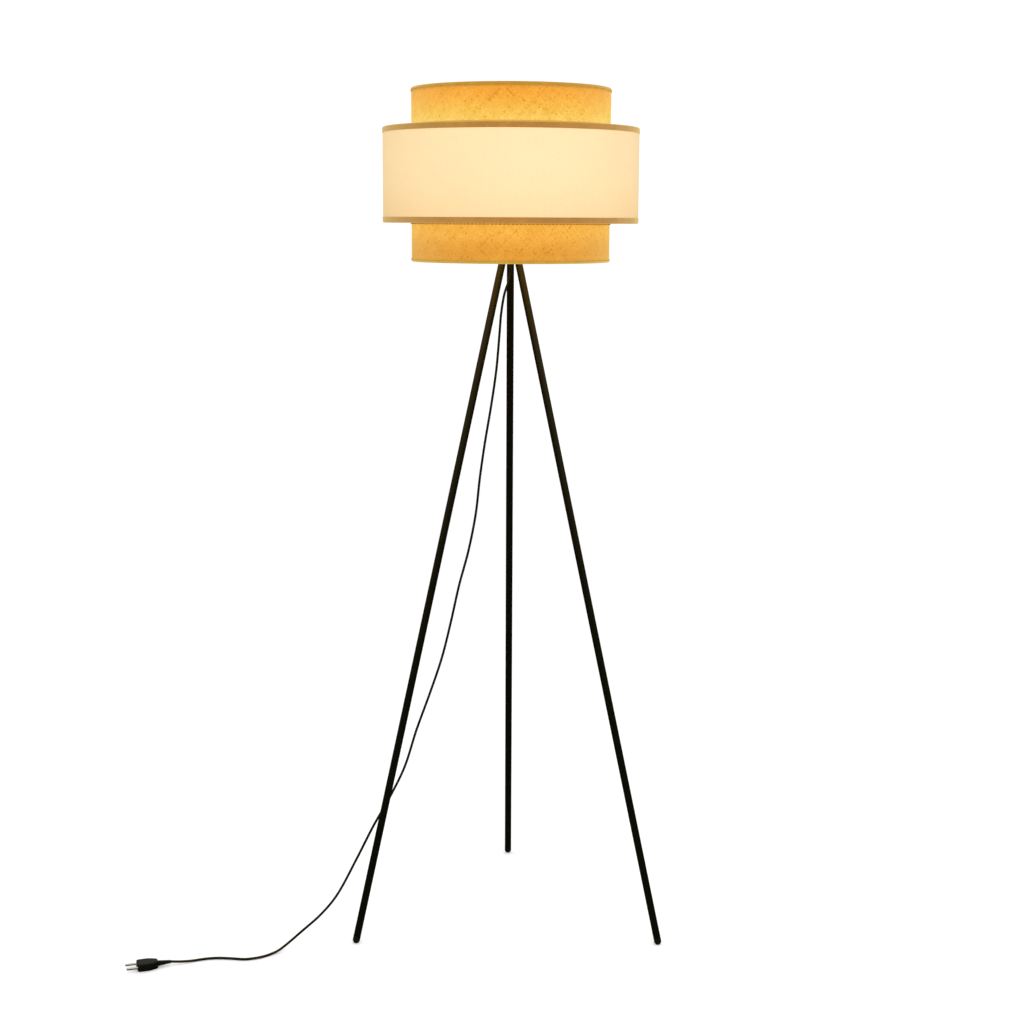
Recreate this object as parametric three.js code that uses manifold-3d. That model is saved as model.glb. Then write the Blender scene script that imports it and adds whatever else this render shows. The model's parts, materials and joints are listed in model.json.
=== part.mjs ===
// Rattan floor lamp: a three-legged stand, a stepped drum shade, one bulb and its mains cord.
// Millimetres, +Z up. The lamp stands on its three feet at z = 0, and the back foot points to +Y.
import * as THREE from "three";
import { mergeVertices } from "three/addons/utils/BufferGeometryUtils.js";
import Module from "manifold-3d";

const wasm = await Module();
wasm.setup();

// Clearance that seated pieces keep from each other, and how far a cut runs past what it cuts
const seat = 0.3;
const overrun = 4;

// Lamp
const lampHeight = 1510;
const legCount = 3;
const backLegAngle = Math.PI / 2;

// Shade: a linen band between two narrower rattan tiers
const shadeHeight = 300;
const bandHeight = 165;
const bandRadius = 225;
const tierRadius = 175;
const tierTuck = 1.5;
const rattanThickness = 1.4;
const linenThickness = 1;
const linerThickness = 0.6;
const tapeThickness = 0.8;
const rattanHemWidth = 6;
const bandTrimWidth = 10;
const shadeSides = 40;

// Shade frame: steel wire rings, struts and the spider that carries them on the lampholder
const ringWireRadius = 2;
const strutWireRadius = 1.5;
const strutCount = 6;
const armCount = 3;
const fitterBoreRadius = 20.75;
const fitterRimWidth = 6.75;
const fitterThickness = 2;
const armWeld = 1.5;
const wireSides = 6;

// Legs: straight steel tubes that screw up into the hub
const footCircleRadius = 314;
const socketCircleRadius = 13.5;
const socketDrop = 288;
const socketHeight = lampHeight - socketDrop;
const legRadius = 6.5;
const legWall = 1.2;
const legSides = 16;
const insertFlange = 1.5;
const insertLength = 26;
const insertBoreRadius = 3.3;
const studRadius = 3;
const studInLeg = 22;
const studInHub = 13;
const studChamfer = 0.6;

// Feet: rubber plugs with a domed end
const footCollar = 6;
const footStem = 14;
const footFlat = 0.8;
const domeSteps = 4;

// Hub
const hubRadius = 27;
const hubThickness = 16;
const bossDrop = 5;
const bossRadius = 8;
const hubEdge = 2;
const studHoleDepth = 14;
const shoulderBoreRadius = 4.2;
const shoulderRise = 7;
const turnedSides = 24;

// Threaded tube through the hub and its lock nut
const nippleRadius = 5;
const nippleBoreRadius = 3.5;
const nippleInCap = 8;
const nutAcrossFlats = 14;
const nutThickness = 4;
const hexSides = 6;

// Cord grip under the hub
const gripHeadHeight = 4;
const gripTail = 20;
const gripMouthRadius = 3.2;
const gripNeckRadius = 3.9;
const gripSides = 12;

// Lampholder
const capHeight = 38;
const capRadius = 20;
const capNeckRadius = 11;
const capNeckHeight = 4;
const capFlare = 8;
const capWall = 2.1;
const sleeveSkirtHeight = 5;
const sleeveFlangeRadius = 22;
const sleeveFlangeHeight = 3;
const sleeveRadius = 19.75;
const sleeveBoreRadius = 15.3;
const sleeveBarrelHeight = 26;
const coreDiscHeight = 10.5;
const coreStemHeight = 9.3;
const shellOuterRadius = 14.4;
const shellWall = 0.8;
const shellLipRadius = 8;
const shellHeight = 23;
const contactRadius = 4;
const contactThickness = 2.5;
const ringNutOuterRadius = 25;
const ringNutHeight = 7;

// Turn switch in the lampholder
const switchDrop = 21;
const shaftRadius = 2;
const shaftBoreRadius = 2.35;
const shaftStart = 6;
const camHalfWidth = 2.6;
const camLength = 3.5;
const blockWidth = 13;
const blockNear = 6.4;
const blockFar = 14.5;
const blockDepth = 10;
const knobNear = 21;
const knobLength = 14;
const knobRadius = 7.5;
const knobLobes = 10;
const knobLobeShare = 0.07;
const knobEdge = 1;
const knobSides = 40;
const knobBoreDepth = 10.3;

// Terminals and the two wires to them
const terminalOffset = 11;
const terminalHeadRadius = 3;
const terminalHeadHeight = 2.2;
const terminalShankRadius = 1.6;
const terminalShankLength = 6;
const wireRadius = 0.9;
const wireSpacing = 1.25;
const insulationSides = 8;
const insulationSteps = 8;
const leadTopBelowCore = 12;

// Bulb
const bulbLength = 105;
const bulbRadius = 30;
const bulbGlassWall = 0.8;
const bulbCapRadius = 13.2;
const bulbCapWall = 0.5;
const bulbCapHeight = 20;
const bulbInsulatorHeight = 4;
const bulbInsulatorTipRadius = 6;
const bulbContactRadius = 4.8;
const bulbContactHeight = 1.5;
const bulbNeckInCap = 6;
const bulbShoulderAngle = Math.PI / 6;
const bulbSteps = 4;
const bulbSides = 20;
const stemRadius = 11.6;
const stemTopRadius = 3;
const stemFootHeight = 4;
const stemHeight = 26;
const filamentCount = 4;
const filamentRadius = 1;
const filamentLength = 30;
const filamentFootSpread = 5;
const filamentHeadSpread = 11;
const supportRadius = 0.6;

// Cord and plug
const cordRadius = 2.2;
const cordSides = 8;
const cordSteps = 80;
const plugLength = 36;
const plugWidth = 26;
const plugTailWidth = 14;
const plugThickness = 13.7;
const plugEdge = 1.5;
const plugTaper = 14;
const reliefLength = 22;
const reliefMouthRadius = 3;
const reliefRootRadius = 4.8;
const pinRadius = 2;
const pinReach = 19;
const pinRoot = 12;
const pinSpacing = 18.6;
const pinTip = 1;
const pinSides = 16;

// Heights and radii that follow from the sizes above
const shadeBottom = lampHeight - shadeHeight;
const bandBottom = shadeBottom + (shadeHeight - bandHeight) / 2;
const bandTop = bandBottom + bandHeight;
const lowerTierTop = bandBottom + tierTuck;
const upperTierBottom = bandTop - tierTuck;
const edgeInset = tapeThickness + seat;
const lean = Math.atan2(footCircleRadius - socketCircleRadius, socketHeight);
const domeCentreHeight = legRadius - footFlat;
const legRun = (socketHeight - domeCentreHeight) / Math.cos(lean);
const legBoreRadius = legRadius - legWall;
const hubUnderside = socketHeight + bossDrop;
const hubTop = hubUnderside + hubThickness;
const hubBoreRadius = nippleRadius + seat;
const shoulderHeight = socketHeight + shoulderRise;
const gripHeadTop = shoulderHeight + seat + gripHeadHeight;
const gripMouth = socketHeight - gripTail;
const nippleBottom = gripHeadTop + seat;
const lockNutBottom = hubTop + seat;
const capBottom = lockNutBottom + nutThickness + seat;
const capTop = capBottom + capHeight;
const capBoreRadius = capRadius - capWall;
const flangeBottom = capTop + seat;
const flangeTop = flangeBottom + sleeveFlangeHeight;
const sleeveBottom = flangeBottom - sleeveSkirtHeight;
const sleeveTop = flangeTop + sleeveBarrelHeight;
const coreDiscTop = sleeveBottom - seat;
const coreBottom = coreDiscTop - coreDiscHeight;
const coreTop = coreDiscTop + coreStemHeight;
const fitterBottom = flangeTop + seat;
const fitterTop = fitterBottom + fitterThickness;
const ringNutBottom = fitterTop + seat;
const switchHeight = capTop - switchDrop;
const shaftEnd = knobNear + knobBoreDepth - seat;
const leadTop = coreBottom - leadTopBelowCore;
const shellBottom = coreTop + seat;
const bulbBottom = shellBottom + contactThickness + seat;
const bulbCapBottom = bulbBottom + bulbContactHeight + seat + bulbInsulatorHeight + seat;
const bulbCapTop = bulbCapBottom + bulbCapHeight;
const bulbTop = bulbBottom + bulbLength;

// Finishes
function finish(color, roughness, metalness = 0) {
  return new THREE.MeshStandardMaterial({ color, roughness, metalness });
}
const rattan = finish(0xe0a862, 0.8);
const linen = finish(0xf2e2bd, 0.9);
const film = finish(0xf7f2e6, 0.5);
const brownTape = finish(0xb98a55, 0.85);
const whiteWire = finish(0xe9e6df, 0.45, 0.2);
const blackSteel = finish(0x16130f, 0.4, 0.4);
const zincSteel = finish(0xb5b4ae, 0.35, 1);
const blackRubber = finish(0x0d0d0c, 0.8);
const brass = finish(0xb9974a, 0.3, 1);
const blackPlastic = finish(0x141312, 0.45);
const ceramic = finish(0xefece3, 0.35);
const glass = finish(0xfff6e2, 0.1);
const filamentYellow = finish(0xf2c45a, 0.6);
const nickel = finish(0xc9c7c0, 0.25, 1);
const brownWire = finish(0x5b3a22, 0.6);
const blueWire = finish(0x2f4f86, 0.6);

const lamp = new THREE.Group();
const stand = new THREE.Group();
lamp.add(stand);

function piece(name, geometry, material, parent = stand) {
  const mesh = new THREE.Mesh(geometry, material);
  mesh.name = name;
  parent.add(mesh);
  return mesh;
}

// A turned shape about +Z from [radius, height] points. The profile runs up the outside, and either
// starts and ends on the axis or, when closed, comes back to its first point.
function turned(points, sides, closed = false) {
  const loop = closed ? [...points, points[0]] : points;
  const profile = loop.map(([radius, height]) => new THREE.Vector2(radius, height));
  return new THREE.LatheGeometry(profile, sides).rotateX(Math.PI / 2);
}

function rod(radius, bottom, top, sides) {
  return turned([[0, bottom], [radius, bottom], [radius, top], [0, top]], sides);
}

function hollow(outer, inner, bottom, top, sides) {
  return turned([[inner, bottom], [outer, bottom], [outer, top], [inner, top]], sides, true);
}

// A ring of round wire about +Z
function wireRing(radius, wire, height) {
  const points = [];
  for (let i = 0; i < wireSides; i += 1) {
    const turn = (i / wireSides) * 2 * Math.PI;
    points.push([radius + wire * Math.cos(turn), height + wire * Math.sin(turn)]);
  }
  return turned(points, shadeSides, true);
}

// A straight wire from one point to another
function wireBetween(from, to, wire) {
  const along = to.clone().sub(from);
  const straight = rod(wire, 0, along.length(), wireSides);
  const up = new THREE.Vector3(0, 0, 1);
  straight.applyQuaternion(new THREE.Quaternion().setFromUnitVectors(up, along.normalize()));
  return straight.translate(from.x, from.y, from.z);
}

function polar(radius, angle, height) {
  return new THREE.Vector3(radius * Math.cos(angle), radius * Math.sin(angle), height);
}

// Joining and cutting closed shapes
function solid(geometry) {
  const bare = geometry.index ? geometry.toNonIndexed() : geometry.clone();
  bare.deleteAttribute("normal");
  bare.deleteAttribute("uv");
  const merged = mergeVertices(bare);
  return new wasm.Manifold(
    new wasm.Mesh({
      numProp: 3,
      vertProperties: merged.attributes.position.array,
      triVerts: new Uint32Array(merged.index.array),
    }),
  );
}

function shape(manifold) {
  const mesh = manifold.getMesh();
  const geometry = new THREE.BufferGeometry();
  const places = new Float32Array(mesh.vertProperties);
  geometry.setAttribute("position", new THREE.BufferAttribute(places, mesh.numProp));
  geometry.setIndex(new THREE.BufferAttribute(new Uint32Array(mesh.triVerts), 1));
  const faces = geometry.toNonIndexed();
  faces.computeVertexNormals();
  return faces;
}

function joined(parts) {
  return parts.map(solid).reduce((whole, next) => whole.add(next));
}

function cut(whole, tools) {
  return tools.map(solid).reduce((left, tool) => left.subtract(tool), whole);
}

// Feet, legs and the threaded joint at each leg's top. In a leg's own frame the hub's boss ends at
// z = 0 and the leg runs down along -Z.
const legNames = ["back", "left", "right"];
const legAngles = legNames.map((_, i) => backLegAngle + (i * 2 * Math.PI) / legCount);

function legFrame(angle) {
  const frame = new THREE.Group();
  frame.position.copy(polar(socketCircleRadius, angle, socketHeight));
  frame.rotation.set(0, -lean, angle, "ZYX");
  frame.updateMatrix();
  return frame;
}

function insertProfile() {
  const plugRadius = legBoreRadius - seat;
  const flangeUnderside = -seat - insertFlange;
  return [
    [insertBoreRadius, -insertLength],
    [plugRadius, -insertLength],
    [plugRadius, flangeUnderside],
    [legRadius, flangeUnderside],
    [legRadius, -seat],
    [insertBoreRadius, -seat],
  ];
}

function studProfile() {
  return [
    [0, -studInLeg],
    [studRadius - studChamfer, -studInLeg],
    [studRadius, -studInLeg + studChamfer],
    [studRadius, studInHub - studChamfer],
    [studRadius - studChamfer, studInHub],
    [0, studInHub],
  ];
}

// The foot's dome has its centre on the leg's axis, and the floor cuts a small flat on it.
function footGeometry(frame) {
  const centre = -legRun;
  const profile = [];
  for (let i = 0; i <= domeSteps; i += 1) {
    const turn = (i / domeSteps) * (Math.PI / 2);
    profile.push([legRadius * Math.sin(turn), centre - legRadius * Math.cos(turn)]);
  }
  const stemRadiusInLeg = legBoreRadius - seat;
  profile.push([legRadius, centre + footCollar]);
  profile.push([stemRadiusInLeg, centre + footCollar]);
  profile.push([stemRadiusInLeg, centre + footCollar + footStem]);
  profile.push([0, centre + footCollar + footStem]);
  const dome = turned(profile, legSides).applyMatrix4(frame.matrix);
  const floorWidth = 4 * footCircleRadius;
  const floor = new THREE.BoxGeometry(floorWidth, floorWidth, overrun).translate(0, 0, -overrun / 2);
  return shape(cut(solid(dome), [floor]));
}

legAngles.forEach((angle, i) => {
  const frame = legFrame(angle);
  const name = legNames[i];
  stand.add(frame);
  const tubeTop = -seat - insertFlange - seat;
  const tubeBottom = footCollar + seat - legRun;
  const tube = hollow(legRadius, legBoreRadius, tubeBottom, tubeTop, legSides);
  piece(`leg_tube_${name}`, tube, blackSteel, frame);
  piece(`leg_insert_${name}`, turned(insertProfile(), legSides, true), zincSteel, frame);
  piece(`leg_stud_${name}`, turned(studProfile(), gripSides), zincSteel, frame);
  piece(`foot_${name}`, footGeometry(frame), blackRubber);
});

// Hub: a round plate with a tilted boss for each leg and a stepped bore for the cord grip and tube
function hubGeometry() {
  const plate = turned(
    [
      [0, hubUnderside],
      [hubRadius - hubEdge, hubUnderside],
      [hubRadius, hubUnderside + hubEdge],
      [hubRadius, hubTop - hubEdge],
      [hubRadius - hubEdge, hubTop],
      [0, hubTop],
    ],
    turnedSides,
  );
  const frames = legAngles.map(legFrame);
  const bosses = frames.map((frame) =>
    rod(bossRadius, 0, hubThickness, legSides).applyMatrix4(frame.matrix),
  );
  const studHoles = frames.map((frame) =>
    rod(insertBoreRadius, -overrun, studHoleDepth, gripSides).applyMatrix4(frame.matrix),
  );
  const narrowBore = rod(shoulderBoreRadius, socketHeight - overrun, hubTop + overrun, turnedSides);
  const wideBore = rod(hubBoreRadius, shoulderHeight, hubTop + overrun, turnedSides);
  return shape(cut(joined([plate, ...bosses]), [...studHoles, narrowBore, wideBore]));
}
piece("hub", hubGeometry(), blackSteel);

// Cord grip: its head is trapped between the hub's shoulder and the threaded tube
const leadBoreRadius = cordRadius + seat;
piece(
  "cord_grip",
  turned(
    [
      [leadBoreRadius, gripMouth],
      [gripMouthRadius, gripMouth],
      [gripNeckRadius, socketHeight],
      [gripNeckRadius, shoulderHeight + seat],
      [nippleRadius, shoulderHeight + seat],
      [nippleRadius, gripHeadTop],
      [leadBoreRadius, gripHeadTop],
    ],
    gripSides,
    true,
  ),
  blackRubber,
);
piece(
  "threaded_tube",
  hollow(nippleRadius, nippleBoreRadius, nippleBottom, capBottom + nippleInCap, gripSides),
  zincSteel,
);

function lockNutGeometry() {
  const cornerRadius = nutAcrossFlats / 2 / Math.cos(Math.PI / hexSides);
  const lockNutTop = lockNutBottom + nutThickness;
  const bore = rod(hubBoreRadius, lockNutBottom - overrun, lockNutTop + overrun, turnedSides);
  return shape(cut(solid(rod(cornerRadius, lockNutBottom, lockNutTop, hexSides)), [bore]));
}
piece("lock_nut", lockNutGeometry(), zincSteel);

// Lampholder: cap, threaded sleeve, insulating core, screw shell and contacts
const shaftAxis = new THREE.Matrix4().makeRotationX(Math.PI / 2).setPosition(0, 0, switchHeight);

function holderCapGeometry() {
  const floorTop = capBottom + capWall;
  const wall = turned(
    [
      [hubBoreRadius, capBottom],
      [capNeckRadius, capBottom],
      [capNeckRadius, capBottom + capNeckHeight],
      [capRadius, capBottom + capNeckHeight + capFlare],
      [capRadius, capTop],
      [capBoreRadius, capTop],
      [capBoreRadius, capBottom + capNeckHeight + capFlare + capWall],
      [capNeckRadius - capWall, floorTop + capWall],
      [hubBoreRadius, floorTop + capWall],
    ],
    turnedSides,
    true,
  );
  const shaftHole = rod(shaftBoreRadius, 0, capRadius + overrun, gripSides).applyMatrix4(shaftAxis);
  return shape(cut(solid(wall), [shaftHole]));
}
piece("lampholder_cap", holderCapGeometry(), blackPlastic);

piece(
  "lampholder_sleeve",
  turned(
    [
      [sleeveBoreRadius, sleeveBottom],
      [capBoreRadius - seat, sleeveBottom],
      [capBoreRadius - seat, flangeBottom],
      [sleeveFlangeRadius, flangeBottom],
      [sleeveFlangeRadius, flangeTop],
      [sleeveRadius, flangeTop],
      [sleeveRadius, sleeveTop],
      [sleeveBoreRadius, sleeveTop],
    ],
    turnedSides,
    true,
  ),
  blackPlastic,
);

function coreGeometry() {
  const discRadius = capBoreRadius - seat;
  const body = turned(
    [
      [0, coreBottom],
      [discRadius, coreBottom],
      [discRadius, coreDiscTop],
      [sleeveBoreRadius - seat, coreDiscTop],
      [sleeveBoreRadius - seat, coreTop],
      [0, coreTop],
    ],
    turnedSides,
  );
  const blockReach = blockFar - blockNear;
  const block = new THREE.BoxGeometry(blockWidth, blockReach, blockDepth);
  block.translate(0, -blockNear - blockReach / 2, coreBottom - blockDepth / 2 + seat);
  const shaftHole = rod(shaftBoreRadius, 0, capRadius, gripSides).applyMatrix4(shaftAxis);
  const holeRadius = terminalShankRadius + seat;
  const holeTop = coreBottom + terminalShankLength + seat;
  const screwHoles = [-terminalOffset, terminalOffset].map((x) =>
    rod(holeRadius, coreBottom - overrun, holeTop, gripSides).translate(x, 0, 0),
  );
  return shape(cut(joined([body, block]), [shaftHole, ...screwHoles]));
}
piece("lampholder_core", coreGeometry(), ceramic);

const shellBoreRadius = shellOuterRadius - shellWall;
piece(
  "screw_shell",
  turned(
    [
      [shellLipRadius, shellBottom],
      [shellOuterRadius, shellBottom],
      [shellOuterRadius, shellBottom + shellHeight],
      [shellBoreRadius, shellBottom + shellHeight],
      [shellBoreRadius, shellBottom + shellWall],
      [shellLipRadius, shellBottom + shellWall],
    ],
    turnedSides,
    true,
  ),
  brass,
);
piece(
  "centre_contact",
  turned(
    [
      [0, shellBottom],
      [contactRadius, shellBottom],
      [contactRadius / 2, shellBottom + contactThickness],
      [0, shellBottom + contactThickness],
    ],
    gripSides,
  ),
  brass,
);

// Each terminal screw goes up into the core, and its wire ends under the head
function terminalProfile() {
  const headTop = coreBottom - seat;
  return [
    [0, headTop - terminalHeadHeight],
    [terminalHeadRadius, headTop - terminalHeadHeight],
    [terminalHeadRadius, headTop],
    [terminalShankRadius, headTop],
    [terminalShankRadius, coreBottom + terminalShankLength],
    [0, coreBottom + terminalShankLength],
  ];
}

function tubeAlong(curve, radius, sides, steps) {
  const section = new THREE.Shape();
  for (let i = 0; i < sides; i += 1) {
    const turn = (i / sides) * 2 * Math.PI;
    const corner = [radius * Math.cos(turn), radius * Math.sin(turn)];
    if (i === 0) section.moveTo(...corner);
    else section.lineTo(...corner);
  }
  section.closePath();
  return new THREE.ExtrudeGeometry(section, { steps, extrudePath: curve, bevelEnabled: false });
}

function wireGeometry(side) {
  const start = new THREE.Vector3(side * wireSpacing, 0, leadTop + seat);
  const end = new THREE.Vector3(side * terminalOffset, 0, coreBottom - seat - terminalHeadHeight - seat);
  const rise = end.z - start.z;
  const startPull = start.clone().add(new THREE.Vector3(0, 0, rise / 2));
  const endPull = end.clone().add(new THREE.Vector3(0, 0, -rise / 2));
  const curve = new THREE.CubicBezierCurve3(start, startPull, endPull, end);
  return tubeAlong(curve, wireRadius, insulationSides, insulationSteps);
}

[["live", -1, brownWire], ["neutral", 1, blueWire]].forEach(([name, side, colour]) => {
  const screw = turned(terminalProfile(), gripSides).translate(side * terminalOffset, 0, 0);
  piece(`terminal_screw_${name}`, screw, brass);
  piece(`wire_${name}`, wireGeometry(side), colour);
});
piece("cord_inside_hub", rod(cordRadius, gripMouth, leadTop, cordSides), blackRubber);

// Turn switch: a shaft through the cap's side, and its knob
function shaftGeometry() {
  const bar = rod(shaftRadius, shaftStart, shaftEnd, gripSides);
  const cam = new THREE.BoxGeometry(2 * camHalfWidth, 2 * camHalfWidth, camLength);
  cam.translate(0, 0, blockNear - seat - camLength / 2);
  return shape(joined([bar, cam]).transform(shaftAxis.elements));
}

function knobGeometry() {
  const outline = new THREE.Shape();
  for (let i = 0; i < knobSides; i += 1) {
    const turn = (i / knobSides) * 2 * Math.PI;
    const radius = (knobRadius - knobEdge) * (1 + knobLobeShare * Math.cos(knobLobes * turn));
    if (i === 0) outline.moveTo(radius * Math.cos(turn), radius * Math.sin(turn));
    else outline.lineTo(radius * Math.cos(turn), radius * Math.sin(turn));
  }
  outline.closePath();
  const bevel = { bevelEnabled: true, bevelThickness: knobEdge, bevelSize: knobEdge, bevelSegments: 1 };
  const body = new THREE.ExtrudeGeometry(outline, { depth: knobLength - 2 * knobEdge, ...bevel });
  body.translate(0, 0, knobNear + knobEdge);
  const bore = rod(shaftBoreRadius, knobNear - overrun, knobNear + knobBoreDepth, gripSides);
  return shape(cut(solid(body), [bore]).transform(shaftAxis.elements));
}
piece("switch_shaft", shaftGeometry(), zincSteel);
piece("switch_knob", knobGeometry(), blackPlastic);

// Shade ring: the nut that clamps the shade on the lampholder's sleeve
const ringNutTop = ringNutBottom + ringNutHeight;
const ringNut = hollow(ringNutOuterRadius, sleeveRadius + seat, ringNutBottom, ringNutTop, turnedSides);
piece("shade_ring", ringNut, blackPlastic);

// Bulb: cap, contact, glass, stem and filaments
piece("bulb_contact", rod(bulbContactRadius, bulbBottom, bulbBottom + bulbContactHeight, gripSides), nickel);
const insulatorBottom = bulbBottom + bulbContactHeight + seat;
piece(
  "bulb_insulator",
  turned(
    [
      [0, insulatorBottom],
      [bulbInsulatorTipRadius, insulatorBottom],
      [bulbCapRadius - bulbCapWall, insulatorBottom + bulbInsulatorHeight],
      [0, insulatorBottom + bulbInsulatorHeight],
    ],
    bulbSides,
  ),
  blackPlastic,
);
piece(
  "bulb_cap",
  turned(
    [
      [0, bulbCapBottom],
      [bulbCapRadius, bulbCapBottom],
      [bulbCapRadius, bulbCapTop],
      [bulbCapRadius - bulbCapWall, bulbCapTop],
      [bulbCapRadius - bulbCapWall, bulbCapBottom + bulbCapWall],
      [0, bulbCapBottom + bulbCapWall],
    ],
    bulbSides,
  ),
  nickel,
);

// One side of the glass, from the neck up to the top of the dome
function glassOutline(inset) {
  const ball = bulbRadius - inset;
  const neck = bulbCapRadius - bulbCapWall - seat - inset;
  const centre = bulbTop - bulbRadius;
  const neckBottom = bulbCapTop - bulbNeckInCap;
  const shoulderRadius = ball * Math.cos(bulbShoulderAngle);
  const shoulderLevel = centre - ball * Math.sin(bulbShoulderAngle);
  const pull = (shoulderLevel - bulbCapTop) / 2;
  const outline = new THREE.Path();
  outline.moveTo(neck, neckBottom);
  outline.lineTo(neck, bulbCapTop);
  outline.bezierCurveTo(
    neck,
    bulbCapTop + pull,
    shoulderRadius - pull * Math.sin(bulbShoulderAngle),
    shoulderLevel - pull * Math.cos(bulbShoulderAngle),
    shoulderRadius,
    shoulderLevel,
  );
  outline.absarc(0, centre, ball, -bulbShoulderAngle, Math.PI / 2, false);
  const points = outline.getPoints(bulbSteps).map((point) => [point.x, point.y]);
  points[points.length - 1][0] = 0;
  return points;
}
const glassInside = glassOutline(bulbGlassWall).reverse();
piece("bulb_glass", turned([...glassInside, ...glassOutline(0)], bulbSides), glass);

const stemBottom = bulbCapTop - bulbNeckInCap;
piece(
  "bulb_stem",
  turned(
    [
      [0, stemBottom],
      [stemRadius, stemBottom],
      [stemTopRadius, stemBottom + stemFootHeight],
      [stemTopRadius, stemBottom + stemHeight],
      [0, stemBottom + stemHeight],
    ],
    gripSides,
  ),
  glass,
);

function filamentGeometry() {
  const foot = stemBottom + stemHeight + seat;
  const bottom = foot + 2 * supportRadius;
  const top = bottom + filamentLength;
  const wires = [rod(supportRadius, foot, top, wireSides)];
  for (let i = 0; i < filamentCount; i += 1) {
    const angle = ((i + 1 / 2) / filamentCount) * 2 * Math.PI;
    const low = polar(filamentFootSpread, angle, bottom + filamentRadius);
    const high = polar(filamentHeadSpread, angle, top - filamentRadius);
    wires.push(wireBetween(low, high, filamentRadius));
    wires.push(wireBetween(polar(0, angle, low.z), low, supportRadius));
    wires.push(wireBetween(polar(0, angle, high.z), high, supportRadius));
  }
  return shape(joined(wires));
}
piece("bulb_filaments", filamentGeometry(), filamentYellow);

// Shade: each skin of rattan or linen has a translucent liner behind it, and a tape folded over each edge
function skin(name, outer, thickness, bottom, top, material) {
  const inner = outer - thickness;
  piece(`${name}_skin`, hollow(outer, inner, bottom + edgeInset, top - edgeInset, shadeSides), material);
  const linerOuter = inner - seat;
  const linerInner = linerOuter - linerThickness;
  const liner = hollow(linerOuter, linerInner, bottom + edgeInset, top - edgeInset, shadeSides);
  piece(`${name}_liner`, liner, film);
  return linerInner - seat - ringWireRadius;
}

// The tape covers the skin's outside for its width, and laps over the skin and liner at the edge.
function tapeOver(name, outer, thickness, edge, width, inward, material) {
  const inner = outer - thickness - seat - linerThickness;
  const web = edge + inward * tapeThickness;
  const end = edge + inward * width;
  const points = [
    [inner, edge],
    [outer + seat + tapeThickness, edge],
    [outer + seat + tapeThickness, end],
    [outer + seat, end],
    [outer + seat, web],
    [inner, web],
  ];
  piece(name, turned(inward > 0 ? points : points.reverse(), shadeSides, true), material);
}

const tierRing = skin("upper_tier", tierRadius, rattanThickness, upperTierBottom, lampHeight, rattan);
skin("lower_tier", tierRadius, rattanThickness, shadeBottom, lowerTierTop, rattan);
const bandRing = skin("linen_band", bandRadius, linenThickness, bandBottom, bandTop, linen);

tapeOver("upper_tier_top_hem", tierRadius, rattanThickness, lampHeight, rattanHemWidth, -1, rattan);
tapeOver("upper_tier_bottom_hem", tierRadius, rattanThickness, upperTierBottom, rattanHemWidth, 1, rattan);
tapeOver("lower_tier_top_hem", tierRadius, rattanThickness, lowerTierTop, rattanHemWidth, -1, rattan);
tapeOver("lower_tier_bottom_hem", tierRadius, rattanThickness, shadeBottom, rattanHemWidth, 1, rattan);
tapeOver("band_top_trim", bandRadius, linenThickness, bandTop, bandTrimWidth, -1, brownTape);
tapeOver("band_bottom_trim", bandRadius, linenThickness, bandBottom, bandTrimWidth, 1, brownTape);

// Frame rings. Each step has a tier ring, a band ring and struts that cross the tier's hem.
const ringInset = edgeInset + ringWireRadius;
piece("top_ring", wireRing(tierRing, ringWireRadius, lampHeight - ringInset), whiteWire);
piece("bottom_ring", wireRing(tierRing, ringWireRadius, shadeBottom + ringInset), whiteWire);

function stepWires(tierEdge, bandEdge, inward) {
  const tierLevel = tierEdge - inward * ringInset;
  const bandLevel = bandEdge + inward * ringInset;
  const strutLevel = tierEdge + inward * (seat + strutWireRadius);
  const wires = [
    wireRing(tierRing, ringWireRadius, tierLevel),
    wireRing(bandRing, ringWireRadius, bandLevel),
  ];
  for (let i = 0; i < strutCount; i += 1) {
    const angle = backLegAngle + (i * 2 * Math.PI) / strutCount;
    const bend = polar(tierRing, angle, strutLevel);
    wires.push(wireBetween(polar(tierRing, angle, tierLevel), bend, strutWireRadius));
    const inner = polar(tierRing - strutWireRadius, angle, strutLevel);
    wires.push(wireBetween(inner, polar(bandRing, angle, strutLevel), strutWireRadius));
  }
  return wires;
}
piece("upper_step_frame", shape(joined(stepWires(upperTierBottom, bandTop, -1))), whiteWire);

function lowerStepFrame() {
  const wires = stepWires(lowerTierTop, bandBottom, 1);
  const fitterRimRadius = fitterBoreRadius + fitterRimWidth;
  const fitter = hollow(fitterRimRadius, fitterBoreRadius, fitterBottom, fitterTop, turnedSides);
  const armEnd = fitterRimRadius - armWeld;
  for (let i = 0; i < armCount; i += 1) {
    const angle = backLegAngle + (i * 2 * Math.PI) / armCount;
    const from = polar(tierRing, angle, lowerTierTop - ringInset);
    wires.push(wireBetween(from, polar(armEnd, angle, (fitterBottom + fitterTop) / 2), ringWireRadius));
  }
  return shape(joined([...wires, fitter]));
}
piece("lower_step_frame", lowerStepFrame(), whiteWire);

// The feet and the shade set the middle of the lamp's box, and the origin is under that middle.
const outline = new THREE.Box3().setFromObject(stand);
const axisPlace = outline.getCenter(new THREE.Vector3()).negate().setZ(0);
stand.position.copy(axisPlace);

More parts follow.
